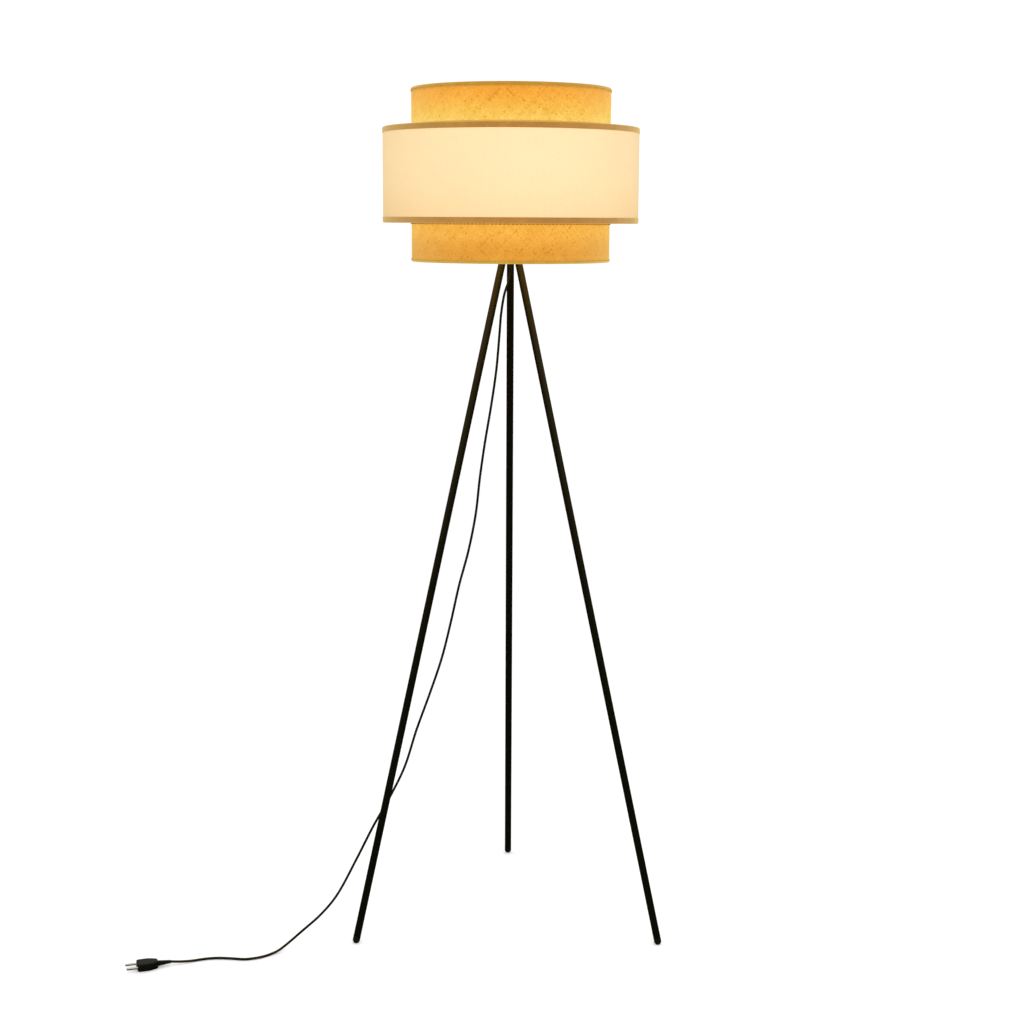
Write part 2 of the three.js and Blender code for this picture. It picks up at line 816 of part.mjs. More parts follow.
// Cord: points from the grip's mouth to the plug, from the lamp's axis. It hangs beside the left
// leg, comes down on the floor and runs to the plug.
const cordHangAngle = (206 * Math.PI) / 180;
const hangingPoints = [
  [0, 1201.7],
  [0, 1189],
  [4, 1174],
  [12, 1152],
  [18, 1118],
  [21, 1083],
  [27, 1019],
  [37, 955],
  [49, 890],
  [59, 826],
  [67, 761],
  [81, 696],
  [100, 632],
  [116, 567],
  [134, 502],
  [158, 438],
  [184, 374],
  [207, 309],
  [236, 256],
  [269, 205],
  [303, 146],
  [338, 89],
  [370, 56],
  [407, 30],
  [432, 13],
];
const floorPoints = [
  [-404, -203, 4.6],
  [-418, -216, 2.4],
  [-434, -229, 2.4],
  [-458, -237.5, 2.4],
  [-484, -234.6, 2.4],
  [-508, -233, 2.4],
  [-530, -237.4, 2.4],
  [-550, -245.8, 2.6],
  [-568, -253.6, 4.4],
  [-584.4, -259.4, 6.85],
];
const route = [
  ...hangingPoints.map(([reach, height]) => polar(reach, cordHangAngle, height)),
  ...floorPoints.map((point) => new THREE.Vector3(...point)),
];
const cordCurve = new THREE.CatmullRomCurve3(route, false, "catmullrom", 0.5);
cordCurve.arcLengthDivisions = 2000;
piece("cord", tubeAlong(cordCurve, cordRadius, cordSides, cordSteps), blackRubber);

// Plug: lies flat on the floor in line with the cord's end
const plug = new THREE.Group();
const cordEnd = route[route.length - 1];
const cordHeading = cordEnd.clone().sub(route[route.length - 2]);
plug.rotation.z = Math.atan2(cordHeading.y, cordHeading.x);
plug.position.set(cordEnd.x, cordEnd.y, plugThickness / 2);
stand.add(plug);
const alongX = new THREE.Matrix4().makeRotationY(Math.PI / 2);

function plugOutline() {
  const outer = plugWidth / 2 - plugEdge;
  const tail = plugTailWidth / 2 - plugEdge;
  const start = seat + reliefLength + plugEdge;
  const end = seat + reliefLength + plugLength - plugEdge;
  const outlineShape = new THREE.Shape();
  outlineShape.moveTo(start, -tail);
  outlineShape.lineTo(start + plugTaper, -outer);
  outlineShape.lineTo(end, -outer);
  outlineShape.lineTo(end, outer);
  outlineShape.lineTo(start + plugTaper, outer);
  outlineShape.lineTo(start, tail);
  outlineShape.closePath();
  return outlineShape;
}

function plugGeometry() {
  const flat = plugThickness - 2 * plugEdge;
  const bevel = { bevelEnabled: true, bevelThickness: plugEdge, bevelSize: plugEdge, bevelSegments: 2 };
  const body = new THREE.ExtrudeGeometry(plugOutline(), { depth: flat, ...bevel });
  body.translate(0, 0, -flat / 2);
  const relief = turned(
    [
      [0, seat],
      [reliefMouthRadius, seat],
      [reliefRootRadius, seat + reliefLength + plugEdge],
      [0, seat + reliefLength + plugEdge],
    ],
    gripSides,
  ).applyMatrix4(alongX);
  const holes = [-1, 1].map((side) => pinRod(pinRadius + seat, side, seat, overrun));
  return shape(cut(joined([body, relief]), holes));
}

function pinRod(radius, side, deeper, further) {
  const face = seat + reliefLength + plugLength;
  const bar = rod(radius, face - pinRoot - deeper, face + further, pinSides);
  return bar.applyMatrix4(alongX).translate(0, (side * pinSpacing) / 2, 0);
}

function pinGeometry(side) {
  const face = seat + reliefLength + plugLength;
  const profile = [
    [0, face - pinRoot],
    [pinRadius, face - pinRoot],
    [pinRadius, face + pinReach - pinTip],
    [pinRadius - pinTip, face + pinReach],
    [0, face + pinReach],
  ];
  return turned(profile, pinSides).applyMatrix4(alongX).translate(0, (side * pinSpacing) / 2, 0);
}
piece("plug", plugGeometry(), blackRubber, plug);
piece("plug_pin_left", pinGeometry(-1), nickel, plug);
piece("plug_pin_right", pinGeometry(1), nickel, plug);

export default lamp;
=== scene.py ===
# %% [markdown]
# # A rattan floor lamp that is switched on
# The real lamp is a tripod of three straight black tubes. A hub holds them together out of sight, and
# a stepped drum shade sits on it: a wide band of linen between two narrower tiers of woven rattan.
# Its bulb is on, so the cloth glows. Everything here is placed from a imported CAD model in metres, so
# no piece is moved by eye. The first cell loads it and hangs its nodes on their bodies.

import json
import math

import bmesh
import bpy
import numpy as np
from mathutils import Matrix, Vector

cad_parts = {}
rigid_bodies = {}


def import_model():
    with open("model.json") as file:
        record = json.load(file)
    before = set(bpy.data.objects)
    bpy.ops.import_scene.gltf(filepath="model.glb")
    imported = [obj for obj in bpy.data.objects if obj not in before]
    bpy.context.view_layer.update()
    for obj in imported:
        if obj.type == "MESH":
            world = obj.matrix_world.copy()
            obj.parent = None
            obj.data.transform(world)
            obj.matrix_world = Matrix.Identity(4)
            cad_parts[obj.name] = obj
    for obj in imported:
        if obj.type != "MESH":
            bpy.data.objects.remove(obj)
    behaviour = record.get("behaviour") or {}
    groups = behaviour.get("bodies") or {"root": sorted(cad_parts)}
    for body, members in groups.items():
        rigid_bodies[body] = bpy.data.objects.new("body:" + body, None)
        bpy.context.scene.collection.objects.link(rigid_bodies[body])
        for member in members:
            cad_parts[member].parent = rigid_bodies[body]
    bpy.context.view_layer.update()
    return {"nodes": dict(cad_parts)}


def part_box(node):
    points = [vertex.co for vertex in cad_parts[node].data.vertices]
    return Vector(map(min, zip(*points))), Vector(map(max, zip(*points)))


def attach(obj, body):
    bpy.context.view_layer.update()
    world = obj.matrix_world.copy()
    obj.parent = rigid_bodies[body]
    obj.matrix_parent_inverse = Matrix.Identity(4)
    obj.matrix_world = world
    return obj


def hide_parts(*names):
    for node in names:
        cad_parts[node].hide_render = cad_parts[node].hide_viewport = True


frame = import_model()
MM = 0.001
TURN = 2 * math.pi

# %% [markdown]
# ## The lamp's own axis
# The long cord pulls the middle of the whole box away from the lamp's middle. The hub is round, so
# the middle of its box is the axis that the shade, the bulb and the legs share. A helper turns a
# reach, an angle and a height in millimetres into a point.

# %% Axis
hub_low, hub_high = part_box("hub")
AXIS = Vector(((hub_low[0] + hub_high[0]) / 2, (hub_low[1] + hub_high[1]) / 2, 0))


def polar(reach, angle, height):
    """A point in metres, from millimetres out from the axis and up from the floor."""
    return AXIS + Vector((reach * math.cos(angle), reach * math.sin(angle), height)) * MM


def heights(cad_node):
    """The lowest and the highest millimetre of a CAD node."""
    return [corner[2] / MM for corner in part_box(cad_node)]


print("axis at", [round(v, 4) for v in AXIS])

# %% [markdown]
# ## Camera
# The camera could be set by eye, but its lens and place were fitted to the photograph's rims, legs
# and feet, so they are typed in as numbers. It stands 3.2 m away, a little above the middle of the
# lamp, and looks slightly down. The Standard view transform keeps white paper white; the filmic
# ones would grey it.

# %% Camera
CAMERA_PLACE = Vector((0.00682, -3.19455, 1.28316))
camera_data = bpy.data.cameras.new("camera")
camera_data.sensor_width = 36
camera_data.lens = 62.69
camera = bpy.data.objects.new("camera", camera_data)
bpy.context.collection.objects.link(camera)
bpy.context.scene.camera = camera
pitch, roll, yaw = 0.16232, 0.00504, -0.00057
forward = Vector((math.sin(yaw) * math.cos(pitch), math.cos(yaw) * math.cos(pitch), -math.sin(pitch)))
level = Vector((math.cos(yaw), -math.sin(yaw), 0))
right = math.cos(roll) * level + math.sin(roll) * level.cross(forward)
upward = right.cross(forward)
turn = Matrix((right, upward, -forward)).transposed().to_4x4()
camera.matrix_world = Matrix.Translation(AXIS + CAMERA_PLACE) @ turn
bpy.context.scene.view_settings.view_transform = "Standard"
print("camera", [round(v, 3) for v in camera.location], "lens", camera_data.lens)

# %% [markdown]
# ## A maker's helpers
# Every piece ends as a closed mesh with a finish and a body that it moves with. One helper does that
# for all. It also points the faces outward and keeps edges sharp where the surface really turns, which
# is cheaper than a modifier on each piece.

# %% Making a piece
def make_piece(name, points, faces, finish, body, slot, instead_of=(), crease=35):
    """A mesh object from points and faces, riding on a body, in place of the CAD nodes named."""
    mesh = bpy.data.meshes.new(name)
    mesh.from_pydata([tuple(p) for p in points], [], faces)
    tidy = bmesh.new()
    tidy.from_mesh(mesh)
    bmesh.ops.recalc_face_normals(tidy, faces=tidy.faces)
    tidy.to_mesh(mesh)
    tidy.free()
    mesh.shade_smooth()
    mesh.set_sharp_from_angle(angle=math.radians(crease))
    mesh.materials.append(finish)
    made = bpy.data.objects.new(name, mesh)
    bpy.context.collection.objects.link(made)
    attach(made, body)
    if instead_of:
        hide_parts(*instead_of)
    return made


def gather(*parts):
    """Several closed shells as one list of points and faces."""
    points, faces = [], []
    for part_points, part_faces in parts:
        start = len(points)
        points.extend(part_points)
        faces.extend([tuple(i + start for i in face) for face in part_faces])
    return points, faces


# %% [markdown]
# Most parts of a lamp are turned or bent from wire. A turned part is a profile of (radius, height)
# pairs spun round an axis. Blender's Screw modifier could do it, but spinning the points in code
# needs no modifier and lets the same helper lie along a leaning leg. A profile that starts and ends
# on the axis makes a solid, and one that stays off it makes a ring. A bent part is a row of rings
# along a line, and one helper joins all such rings with faces.

# %% Turning
UPRIGHT = Matrix.Translation(AXIS)


def turned(profile, sides, place=UPRIGHT, solid=False):
    """Spins a profile in millimetres round the Z axis of place."""
    points, rows = [], []
    for radius, height in profile:
        count = 1 if radius == 0 else sides
        rows.append(list(range(len(points), len(points) + count)))
        for k in range(count):
            angle = TURN * k / sides
            spot = Vector((radius * math.cos(angle), radius * math.sin(angle), height)) * MM
            points.append(place @ spot)
    faces = []
    for lower, upper in zip(rows, rows[1:] if solid else rows[1:] + rows[:1]):
        for k in range(sides):
            ring = [lower[k % len(lower)], lower[(k + 1) % len(lower)]]
            ring += [upper[(k + 1) % len(upper)], upper[k % len(upper)]]
            face = tuple(dict.fromkeys(ring))
            if len(face) > 2:
                faces.append(face)
    return points, faces


def softened(corners, radius, steps=4, looped=True):
    """Rounds each corner of a profile, as a worn or moulded edge is."""
    made = []
    count = len(corners)
    for i, corner in enumerate(corners):
        before, after = corners[i - 1], corners[(i + 1) % count]
        if corner[0] == 0 or (not looped and i in (0, count - 1)):
            made.append(tuple(corner))
            continue
        here = Vector(corner)
        ways = [Vector(before) - here, Vector(after) - here]
        cuts = [here + way.normalized() * min(radius, way.length * 0.45) for way in ways]
        for k in range(steps + 1):
            t = k / steps
            made.append(tuple(cuts[0] * (1 - t) ** 2 + here * 2 * t * (1 - t) + cuts[1] * t * t))
    return made


# %% Bending
def ring_faces(rings, around, looped=False):
    """The faces between rings of points. The ends are closed, or joined where it is looped."""
    faces = []
    for r in range(rings if looped else rings - 1):
        here, above = r * around, (r + 1) % rings * around
        for k in range(around):
            after = (k + 1) % around
            faces.append((here + k, here + after, above + after, above + k))
    if not looped:
        last = (rings - 1) * around
        faces += [tuple(range(around))[::-1], tuple(range(last, last + around))]
    return faces


def tube(line, radius, sides):
    """A closed tube along points in metres; radius is one number or one for each point."""
    line = np.array([tuple(p) for p in line])
    radii = np.broadcast_to(np.asarray(radius, float), len(line))
    heads = np.gradient(line, axis=0)
    heads /= np.linalg.norm(heads, axis=1)[:, None]
    side = np.cross(heads[0], (0.31, 0.83, 0.46))
    points = []
    for centre, head, size in zip(line, heads, radii):
        side = side - head * side.dot(head)
        side /= np.linalg.norm(side)
        other = np.cross(head, side)
        for k in range(sides):
            angle = TURN * k / sides
            points.append(tuple(centre + size * (side * math.cos(angle) + other * math.sin(angle))))
    return points, ring_faces(len(line), sides)


# %% [markdown]
# ## Finishes
# No real surface has one flat colour. Each plain finish is one Principled shader whose colour
# wanders between two tones over grains of a stated size. The same noise moves the roughness and
# raises small bumps. Values that are the same all over the surface are set on the shader itself.

# %% Shader nodes
def fill(finish, sockets, values):
    """Sets values on a node's sockets. One that comes from another node's output is linked."""
    for key, value in values.items():
        socket = sockets[int(key[1:]) if key[1:].isdigit() else key.replace("_", " ")]
        if isinstance(value, bpy.types.NodeSocket):
            finish.node_tree.links.new(value, socket)
        else:
            socket.default_value = value


def node(finish, kind, settings=None, **values):
    """Adds a shader node."""
    made = finish.node_tree.nodes.new("ShaderNode" + kind)
    for key, value in (settings or {}).items():
        setattr(made, key, value)
    fill(finish, made.inputs, values)
    return made.outputs


# %% Finishes and their values
def feed(finish, **values):
    """Gives values to the Principled shader."""
    fill(finish, finish.node_tree.nodes["Principled BSDF"].inputs, values)


def blank(name, **plain):
    """A new material, with plain values set on its Principled shader."""
    finish = bpy.data.materials.new(name)
    finish.use_nodes = True
    feed(finish, **plain)
    return finish


def surface_noise(finish, scale, stretch=(1, 1, 1), **more):
    """Noise that is fixed to the piece; stretch crowds it along an axis."""
    spot = node(finish, "Mapping", Vector=node(finish, "TexCoord")["Object"], Scale=stretch)[0]
    return node(finish, "TexNoise", Vector=spot, Scale=scale, **more)[0]


def bumps(finish, height, distance, strength=0.5):
    """Raises the surface by a value, without moving it."""
    feed(finish, Normal=node(finish, "Bump", Height=height, Distance=distance, Strength=strength)[0])


def maths(finish, operation, first, second):
    """One sum of two values."""
    return node(finish, "Math", {"operation": operation}, _0=first, _1=second)[0]


def ramp(finish, factor, *stops):
    """A colour that runs through stops of (place, (red, green, blue)) as the factor rises."""
    outputs = node(finish, "ValToRGB", Fac=factor)
    band = outputs[0].node.color_ramp
    while len(band.elements) < len(stops):
        band.elements.new(0.5)
    for element, (place, colour) in zip(band.elements, stops):
        element.position = place
        element.color = (*colour, 1)
    return outputs[0]


def spread(finish, value, low, high, out_low, out_high):
    """Maps a value's range onto another one."""
    return node(finish, "MapRange", Value=value, _1=low, _2=high, _3=out_low, _4=out_high)[0]


# %% Grained finish
def grained(name, dark, light, size, rough, bump=0, **plain):
    """A finish with grains of size metres between two tones, and bumps of bump metres."""
    finish = blank(name, **plain)
    grain = surface_noise(finish, 1 / size, Detail=5)
    patch = surface_noise(finish, 0.06 / size)
    factor = spread(finish, maths(finish, "ADD", grain, patch), 0.7, 1.3, 0, 1)
    feed(
        finish, Base_Color=ramp(finish, factor, (0, dark), (1, light)),
        Roughness=spread(finish, grain, 0.3, 0.7, *rough),
    )
    if bump:
        bumps(finish, grain, bump, 0.6)
    return finish


# %% [markdown]
# ## The cord
# On the real lamp a thin black mains lead leaves the hub's underside, hangs beside the left leg in
# a lazy bow, meets the floor and runs off to its plug. A Blender curve with a bevel could draw it.
# Here the route's points are joined by the same smooth curve as in the CAD model, and a tube is
# swept along it, so the lead lies exactly where the solid one does.

# %% Cord
CORD_RADIUS = 2.2
hang_angle = math.radians(206)
hanging = [
    (0, 1201.7), (0, 1189), (4, 1174), (12, 1152), (18, 1118), (21, 1083), (27, 1019), (37, 955),
    (49, 890), (59, 826), (67, 761), (81, 696), (100, 632), (116, 567), (134, 502), (158, 438),
    (184, 374), (207, 309), (236, 256), (269, 205), (303, 146), (338, 89), (370, 56), (407, 30),
    (432, 13),
]
on_floor = [
    (-404, -203, 4.6), (-418, -216, 2.4), (-434, -229, 2.4), (-458, -237.5, 2.4),
    (-484, -234.6, 2.4), (-508, -233, 2.4), (-530, -237.4, 2.4), (-550, -245.8, 2.6),
    (-568, -253.6, 4.4), (-584.4, -259.4, 6.85),
]
route = [polar(reach, hang_angle, height) for reach, height in hanging]
route += [AXIS + Vector(point) * MM for point in on_floor]


def smooth_line(points, steps):
    """A smooth curve through all the points."""
    ends = [2 * points[0] - points[1], *points, 2 * points[-1] - points[-2]]
    line = []
    for a, b, c, d in zip(ends, ends[1:], ends[2:], ends[3:]):
        for k in range(steps):
            t = k / steps
            bow, twist = a * 2 - b * 5 + c * 4 - d, b * 3 - c * 3 + d - a
            line.append(b + (c - a) * 0.5 * t + bow * 0.5 * t * t + twist * 0.5 * t * t * t)
    return [*line, points[-1]]


cord_line = smooth_line(route, 9)
black_cord = grained(
    "black_cord", (0.0014, 0.0014, 0.0008), (0.003, 0.003, 0.002), 0.0012, (0.42, 0.6), 0.00006,
    Specular_IOR_Level=0.26, Specular_Tint=(1, 0.98, 0.6, 1),
)
made = tube(cord_line, CORD_RADIUS * MM, 14)
cord = make_piece("mains_cord", *made, black_cord, "stand", "black_cord", ["cord"])

# %% [markdown]
# The plug at its end is a flat two-pin one, moulded with its strain relief. The photograph leaves it
# out, but a real lead has one. Its outline is drawn once and stacked in layers that step in at the
# top and bottom, which rounds the edge all round. The ribbed relief and the pins are turned.

# %% Plug
PLUG_START, PLUG_LONG, PLUG_THICK = 22.3, 36, 13.7
PLUG_TAIL, PLUG_WIDE, PLUG_SHOULDER, PLUG_EDGE = 7, 13, 14, 2.2
PIN_REACH, PIN_SPACE = 19, 9.3
heading = route[-1] - route[-2]
plug_place = Matrix.Translation(route[-1]) @ Matrix.Rotation(math.atan2(heading.y, heading.x), 4, "Z")
along = plug_place @ Matrix.Rotation(math.pi / 2, 4, "Y")


def plug_layer(inset, height):
    """The plug's outline, drawn in by inset, at a height."""
    start, end = PLUG_START + inset, PLUG_START + PLUG_LONG - inset
    tail, wide = PLUG_TAIL - inset, PLUG_WIDE - inset
    one_side = [(start, tail), (start + PLUG_SHOULDER, wide), (end, wide)]
    corners = [(x, -y) for x, y in one_side] + one_side[::-1]
    return [plug_place @ (Vector((x, y, height)) * MM) for x, y in softened(corners, 3.5, 6)]


def stacked(layers):
    """Closes a stack of equal outlines into a solid."""
    return [p for layer in layers for p in layer], ring_faces(len(layers), len(layers[0]))


def ribs(places, form):
    """A ribbed outline: at each (radius, height) place, the steps of (out, up) from it."""
    return [(radius + out, height + up) for radius, height in places for out, up in form]


flat = PLUG_THICK / 2 - PLUG_EDGE
quarter = np.linspace(0, math.pi / 2, 6)
edge_steps = [(PLUG_EDGE * (1 - math.sin(a)), PLUG_EDGE * math.cos(a)) for a in quarter]
layers = [plug_layer(inset, -flat - drop) for inset, drop in edge_steps]
layers += [plug_layer(inset, flat + drop) for inset, drop in reversed(edge_steps)]
rib_places = [(3 + 0.3 * k, 1.2 + 3 * k) for k in range(7)]
relief = ribs(rib_places, [(0, 0), (0.25, 0.4), (0.25, 1.5), (-0.5, 1.9), (-0.5, 2.6)])
relief = [(0, 0.3), (2.9, 0.3), *relief, (4.8, PLUG_START), (4.8, PLUG_START + 2), (0, PLUG_START + 2)]
plug = make_piece(
    "two_pin_plug", *gather(stacked(layers), turned(relief, 28, along, solid=True)),
    black_cord, "stand", "black_cord", ["plug"], crease=50,
)
nickel = grained(
    "nickel_plate", (0.62, 0.59, 0.53), (0.78, 0.75, 0.69), 0.0006, (0.16, 0.3), 0.00001, Metallic=1,
)
root = PLUG_START + PLUG_LONG
tip = root + PIN_REACH
pin = [(0, root - 6), (2, root - 6), (2, tip - 1.4), (1.7, tip - 0.5), (0.9, tip), (0, tip)]
for side, hand in ((-1, "left"), (1, "right")):
    made = turned(pin, 24, along @ Matrix.Translation((0, side * PIN_SPACE * MM, 0)), solid=True)
    make_piece(f"round_pin_{hand}", *made, nickel, "stand", "nickel", [f"plug_pin_{hand}"])
print("plug", [round(v, 3) for v in plug.dimensions])

# %% [markdown]
# ## Rattan that glows
# The tiers are covered with fine rattan, woven on the slant: flat strands 3.6 mm wide that go over
# and under each other at 45 degrees. A bump map would look flat at the edge of the drum, so the weave
# is real relief: a lattice that lies along the strands, four points to a strand, with its height
# from an over-and-under rule. Separate ribbons would take ten times the faces.
#
# Each strand gets its own tone from a seeded draw, and a few come out darker. The pinholes between
# strands get painted shade, darker the deeper they lie. Tones and shade are kept on the points, and
# the shader reads them.

# %% Strands and lattice
TIER_RADIUS, BAND_RADIUS = 175, 225
WEAVE_FLOOR, WEAVE_BACK = 173.95, 173.6
STRAND = 3.6
STRANDS = 2 * round(TURN * TIER_RADIUS / (math.sqrt(2) * STRAND) / 2)
BACK = math.pi / 2
draws = np.random.default_rng(7)


def mottled(shape, dark_share, dark):
    """Tones that wander about 1, with a share of darker ones."""
    tones = draws.normal(1, 0.03, shape)
    tones[draws.random(shape) < dark_share] *= dark
    return tones


def lattice_faces(rows, across):
    """The lattice's diamonds, cut to triangles at both edges, then its rims and its inside."""

    def at(row, col):
        return row * across + col % across

    faces = []
    for row in range(rows + 1):
        for col in range(across):
            ahead = col + row % 2
            below = [at(row - 1, ahead)] if row > 0 else []
            above = [at(row + 1, ahead)] if row < rows else []
            faces.append((at(row, col), *below, at(row, col + 1), *above))
    top = rows * across
    low, high = top + across, top + 2 * across
    for k in range(across):
        after = (k + 1) % across
        for one, other in ((0, low), (low, high), (top, high)):
            faces.append((one + k, one + after, other + after, other + k))
    return faces


# %% Woven skin
def woven_skin(low, high, dark_strands):
    """Points, faces, tones with painted shade and strand places of one tier's cloth, its seam at the back.
    """
    across = 4 * STRANDS
    rows = 2 * round((high - low) / (TURN * TIER_RADIUS / (2 * across)) / 2)
    n, k = np.meshgrid(np.arange(rows + 1), np.arange(across), indexing="ij")
    m = 2 * k + n % 2
    a, b = (m + n) / 8, (m - n) / 8
    crown_a, crown_b = (np.sin(np.pi * (v % 1)) ** 0.6 for v in (a, b))
    over = np.where((np.floor(a) + np.floor(b)) % 2 == 0, 1, -1)
    height_a = 0.5 * crown_a + 0.5 * over * np.sin(np.pi * (b % 1))
    height_b = 0.5 * crown_b - 0.5 * over * np.sin(np.pi * (a % 1))
    on_top = (height_a > height_b).astype(float)
    relief = np.maximum(height_a, height_b)
    strand_a, strand_b = (np.floor(v).astype(int) % STRANDS for v in (a, b))
    tones = mottled((2, STRANDS), 0.05, 0.92)
    cells = mottled((STRANDS, STRANDS), 0.045, 0.84)
    tone = np.where(on_top > 0.5, tones[0][strand_a], tones[1][strand_b]) * cells[strand_a, strand_b]
    angle = BACK + TURN * m / (2 * across)
    level = low + (high - low) * n / rows
    # Painted shade: a few strands are darkened, as thick strands that hold back the glow.
    for way, dark_angle, start, end, depth in dark_strands:
        strand, place = ((strand_a, a), (strand_b, b))[way]
        aside = abs(angle - dark_angle % TURN)
        miss = aside + abs(level - start) / TIER_RADIUS
        wanted = strand[np.unravel_index(np.argmin(miss), level.shape)]
        hit = (strand == wanted) & (level < start) & (level > end) & (aside < 0.3)
        tone[hit] *= 1 - depth * np.sin(np.pi * (place[hit] % 1))
    # Painted shade: the low places between strands, the pinholes, are darkened by their depth.
    tone *= 0.8 + 0.2 * np.clip(relief * 1.6, 0, 1)
    radius = WEAVE_FLOOR + relief + 0.12 * np.sin(5 * angle) * np.sin(np.pi * n / rows)
    outer = np.stack([radius * np.cos(angle), radius * np.sin(angle), level], -1).reshape(-1, 3)
    inside = np.concatenate([outer[:across], outer[-across:]])
    inside[:, :2] *= WEAVE_BACK / np.linalg.norm(inside[:, :2], axis=1)[:, None]
    points = np.concatenate([outer, inside]) * MM + np.array(AXIS)
    places = np.stack([a, b, on_top], -1).reshape(-1, 3)
    places = np.concatenate([places, np.zeros_like(inside)])
    tone = np.concatenate([tone.reshape(-1), np.full(len(inside), 0.9)])
    return points.tolist(), lattice_faces(rows, across), tone, places


def keep_on_points(made, name, kind, values):
    """Stores a value for each point of a mesh under a name that a shader can read."""
    layer = made.data.attributes.new(name, kind, "POINT")
    key = "value" if kind == "FLOAT" else "vector"
    layer.data.foreach_set(key, np.asarray(values, np.float32).ravel())


print("strands each way:", STRANDS)

# %% [markdown]
# The glow could come from a lamp inside and a translucent shader, but thin woven cloth needs a great
# many samples to look clean that way. The cloth here gives off its own light instead: an emission
# whose colour follows the height, orange near the open rims and yellow beside the bulb. On top of
# it lies an ordinary rattan colour for the room's light, and a little sheen, because dry fibres look
# pale when seen edge on.
#
# A renderer also aims at glowing faces, as it does at lamps. Strands almost touch, so that would
# leave bright specks where one happens to pick the next. The aiming is turned off.

# %% Glow
def glow(finish, colour, strength):
    """Lets a surface give off its own light, without being aimed at as a lamp."""
    feed(finish, Emission_Color=colour, Emission_Strength=strength)
    finish.cycles.emission_sampling = "NONE"


def by_height(finish, *stops):
    """A colour by height in millimetres above the floor, from stops in rising order."""
    height = node(finish, "SeparateXYZ", Vector=node(finish, "TexCoord")["Object"])["Z"]
    low, high = stops[0][0], stops[-1][0]
    factor = spread(finish, height, low * MM, high * MM, 0, 1)
    return ramp(finish, factor, *[((z - low) / (high - low), colour) for z, colour in stops])


WEAVE_GLOW = [
    (1214, (0.46, 0.18, 0.012)), (1220, (0.51, 0.172, 0.008)), (1226, (0.488, 0.154, 0.004)),
    (1241, (0.562, 0.206, 0.015)), (1257.5, (0.69, 0.31, 0.042)), (1269, (0.725, 0.34, 0.044)),
    (1449.6, (0.715, 0.478, 0.12)), (1462, (0.685, 0.402, 0.07)), (1475, (0.69, 0.326, 0.042)),
    (1487.7, (0.67, 0.257, 0.019)), (1496.8, (0.658, 0.214, 0.007)), (1499.4, (0.616, 0.214, 0.005)),
    (1501.1, (0.549, 0.195, 0.004)), (1502.8, (0.458, 0.162, 0.002)),
]
FOLD_GLOW = [
    (1210, (0.25, 0.145, 0.018)), (1216, (0.37, 0.162, 0.01)), (1272, (0.46, 0.2, 0.015)),
    (1279, (0.46, 0.2, 0.015)), (1441, (0.45, 0.27, 0.05)), (1500, (0.45, 0.15, 0.002)),
    (1504, (0.31, 0.1, 0.001)), (1506.1, (0.25, 0.094, 0)), (1508.5, (0.17, 0.058, 0)),
]
BRIGHTEST = 1.3
print("glow stops", len(WEAVE_GLOW), len(FOLD_GLOW))


# %% Rattan finish
def rattan_finish(name, stops, woven=True, tones=(0.9, 1.02), sheen=0.6, pale=(0.98, 0.9, 0.32)):
    """Golden strands with lengthwise fibres; thick places glow browner."""
    finish = blank(
        name, Roughness=0.62, Sheen_Weight=sheen, Sheen_Roughness=0.6, Sheen_Tint=(*pale, 1),
        Specular_IOR_Level=0.3,
    )
    if woven:
        places = node(finish, "Attribute", {"attribute_name": "strand_place"})["Vector"]
        split = node(finish, "SeparateXYZ", Vector=places)
        fibres = []
        for first, second in (("X", "Y"), ("Y", "X")):
            long_way = node(finish, "CombineXYZ", X=split[first], Y=split[second])[0]
            thin = node(finish, "Mapping", Vector=long_way, Scale=(9, 0.8, 1))[0]
            fibres.append(node(finish, "TexNoise", Vector=thin, Scale=1, Detail=3)[0])
        fibre = node(finish, "Mix", Factor=split["Z"], _2=fibres[1], _3=fibres[0])[0]
        tone = node(finish, "Attribute", {"attribute_name": "strand_tone_and_shade"})["Fac"]
    else:
        fibre = surface_noise(finish, 420, (1, 1, 3), Detail=4)
        tone = spread(finish, surface_noise(finish, 90), 0.3, 0.7, *tones)
    patch = surface_noise(finish, 38, Detail=3, Roughness=0.6)
    shade = maths(finish, "MULTIPLY", spread(finish, fibre, 0.3, 0.7, 0.95, 1.04), tone)
    shade = maths(finish, "MULTIPLY", shade, spread(finish, patch, 0.3, 0.7, 0.95, 1.04))
    level = spread(finish, shade, 0.5, 1.15, 0, 1)
    through = ramp(
        finish, level, (0, (0.45, 0.3, 0.05)), (0.46, (0.66, 0.57, 0.154)),
        (0.77, (0.769, 0.769, 0.769)), (1, (0.8, 0.923, 1)),
    )
    light = by_height(finish, *stops)
    glow(finish, node(finish, "VectorMath", {"operation": "MULTIPLY"}, _0=light, _1=through)[0], BRIGHTEST)
    feed(finish, Base_Color=ramp(
        finish, level, (0, (0.12, 0.05, 0.002)), (0.46, (0.195, 0.095, 0.004)),
        (0.77, (0.22, 0.125, 0.01)), (1, (0.23, 0.15, 0.03)),
    ))
    bumps(finish, fibre, 0.00012)
    return finish
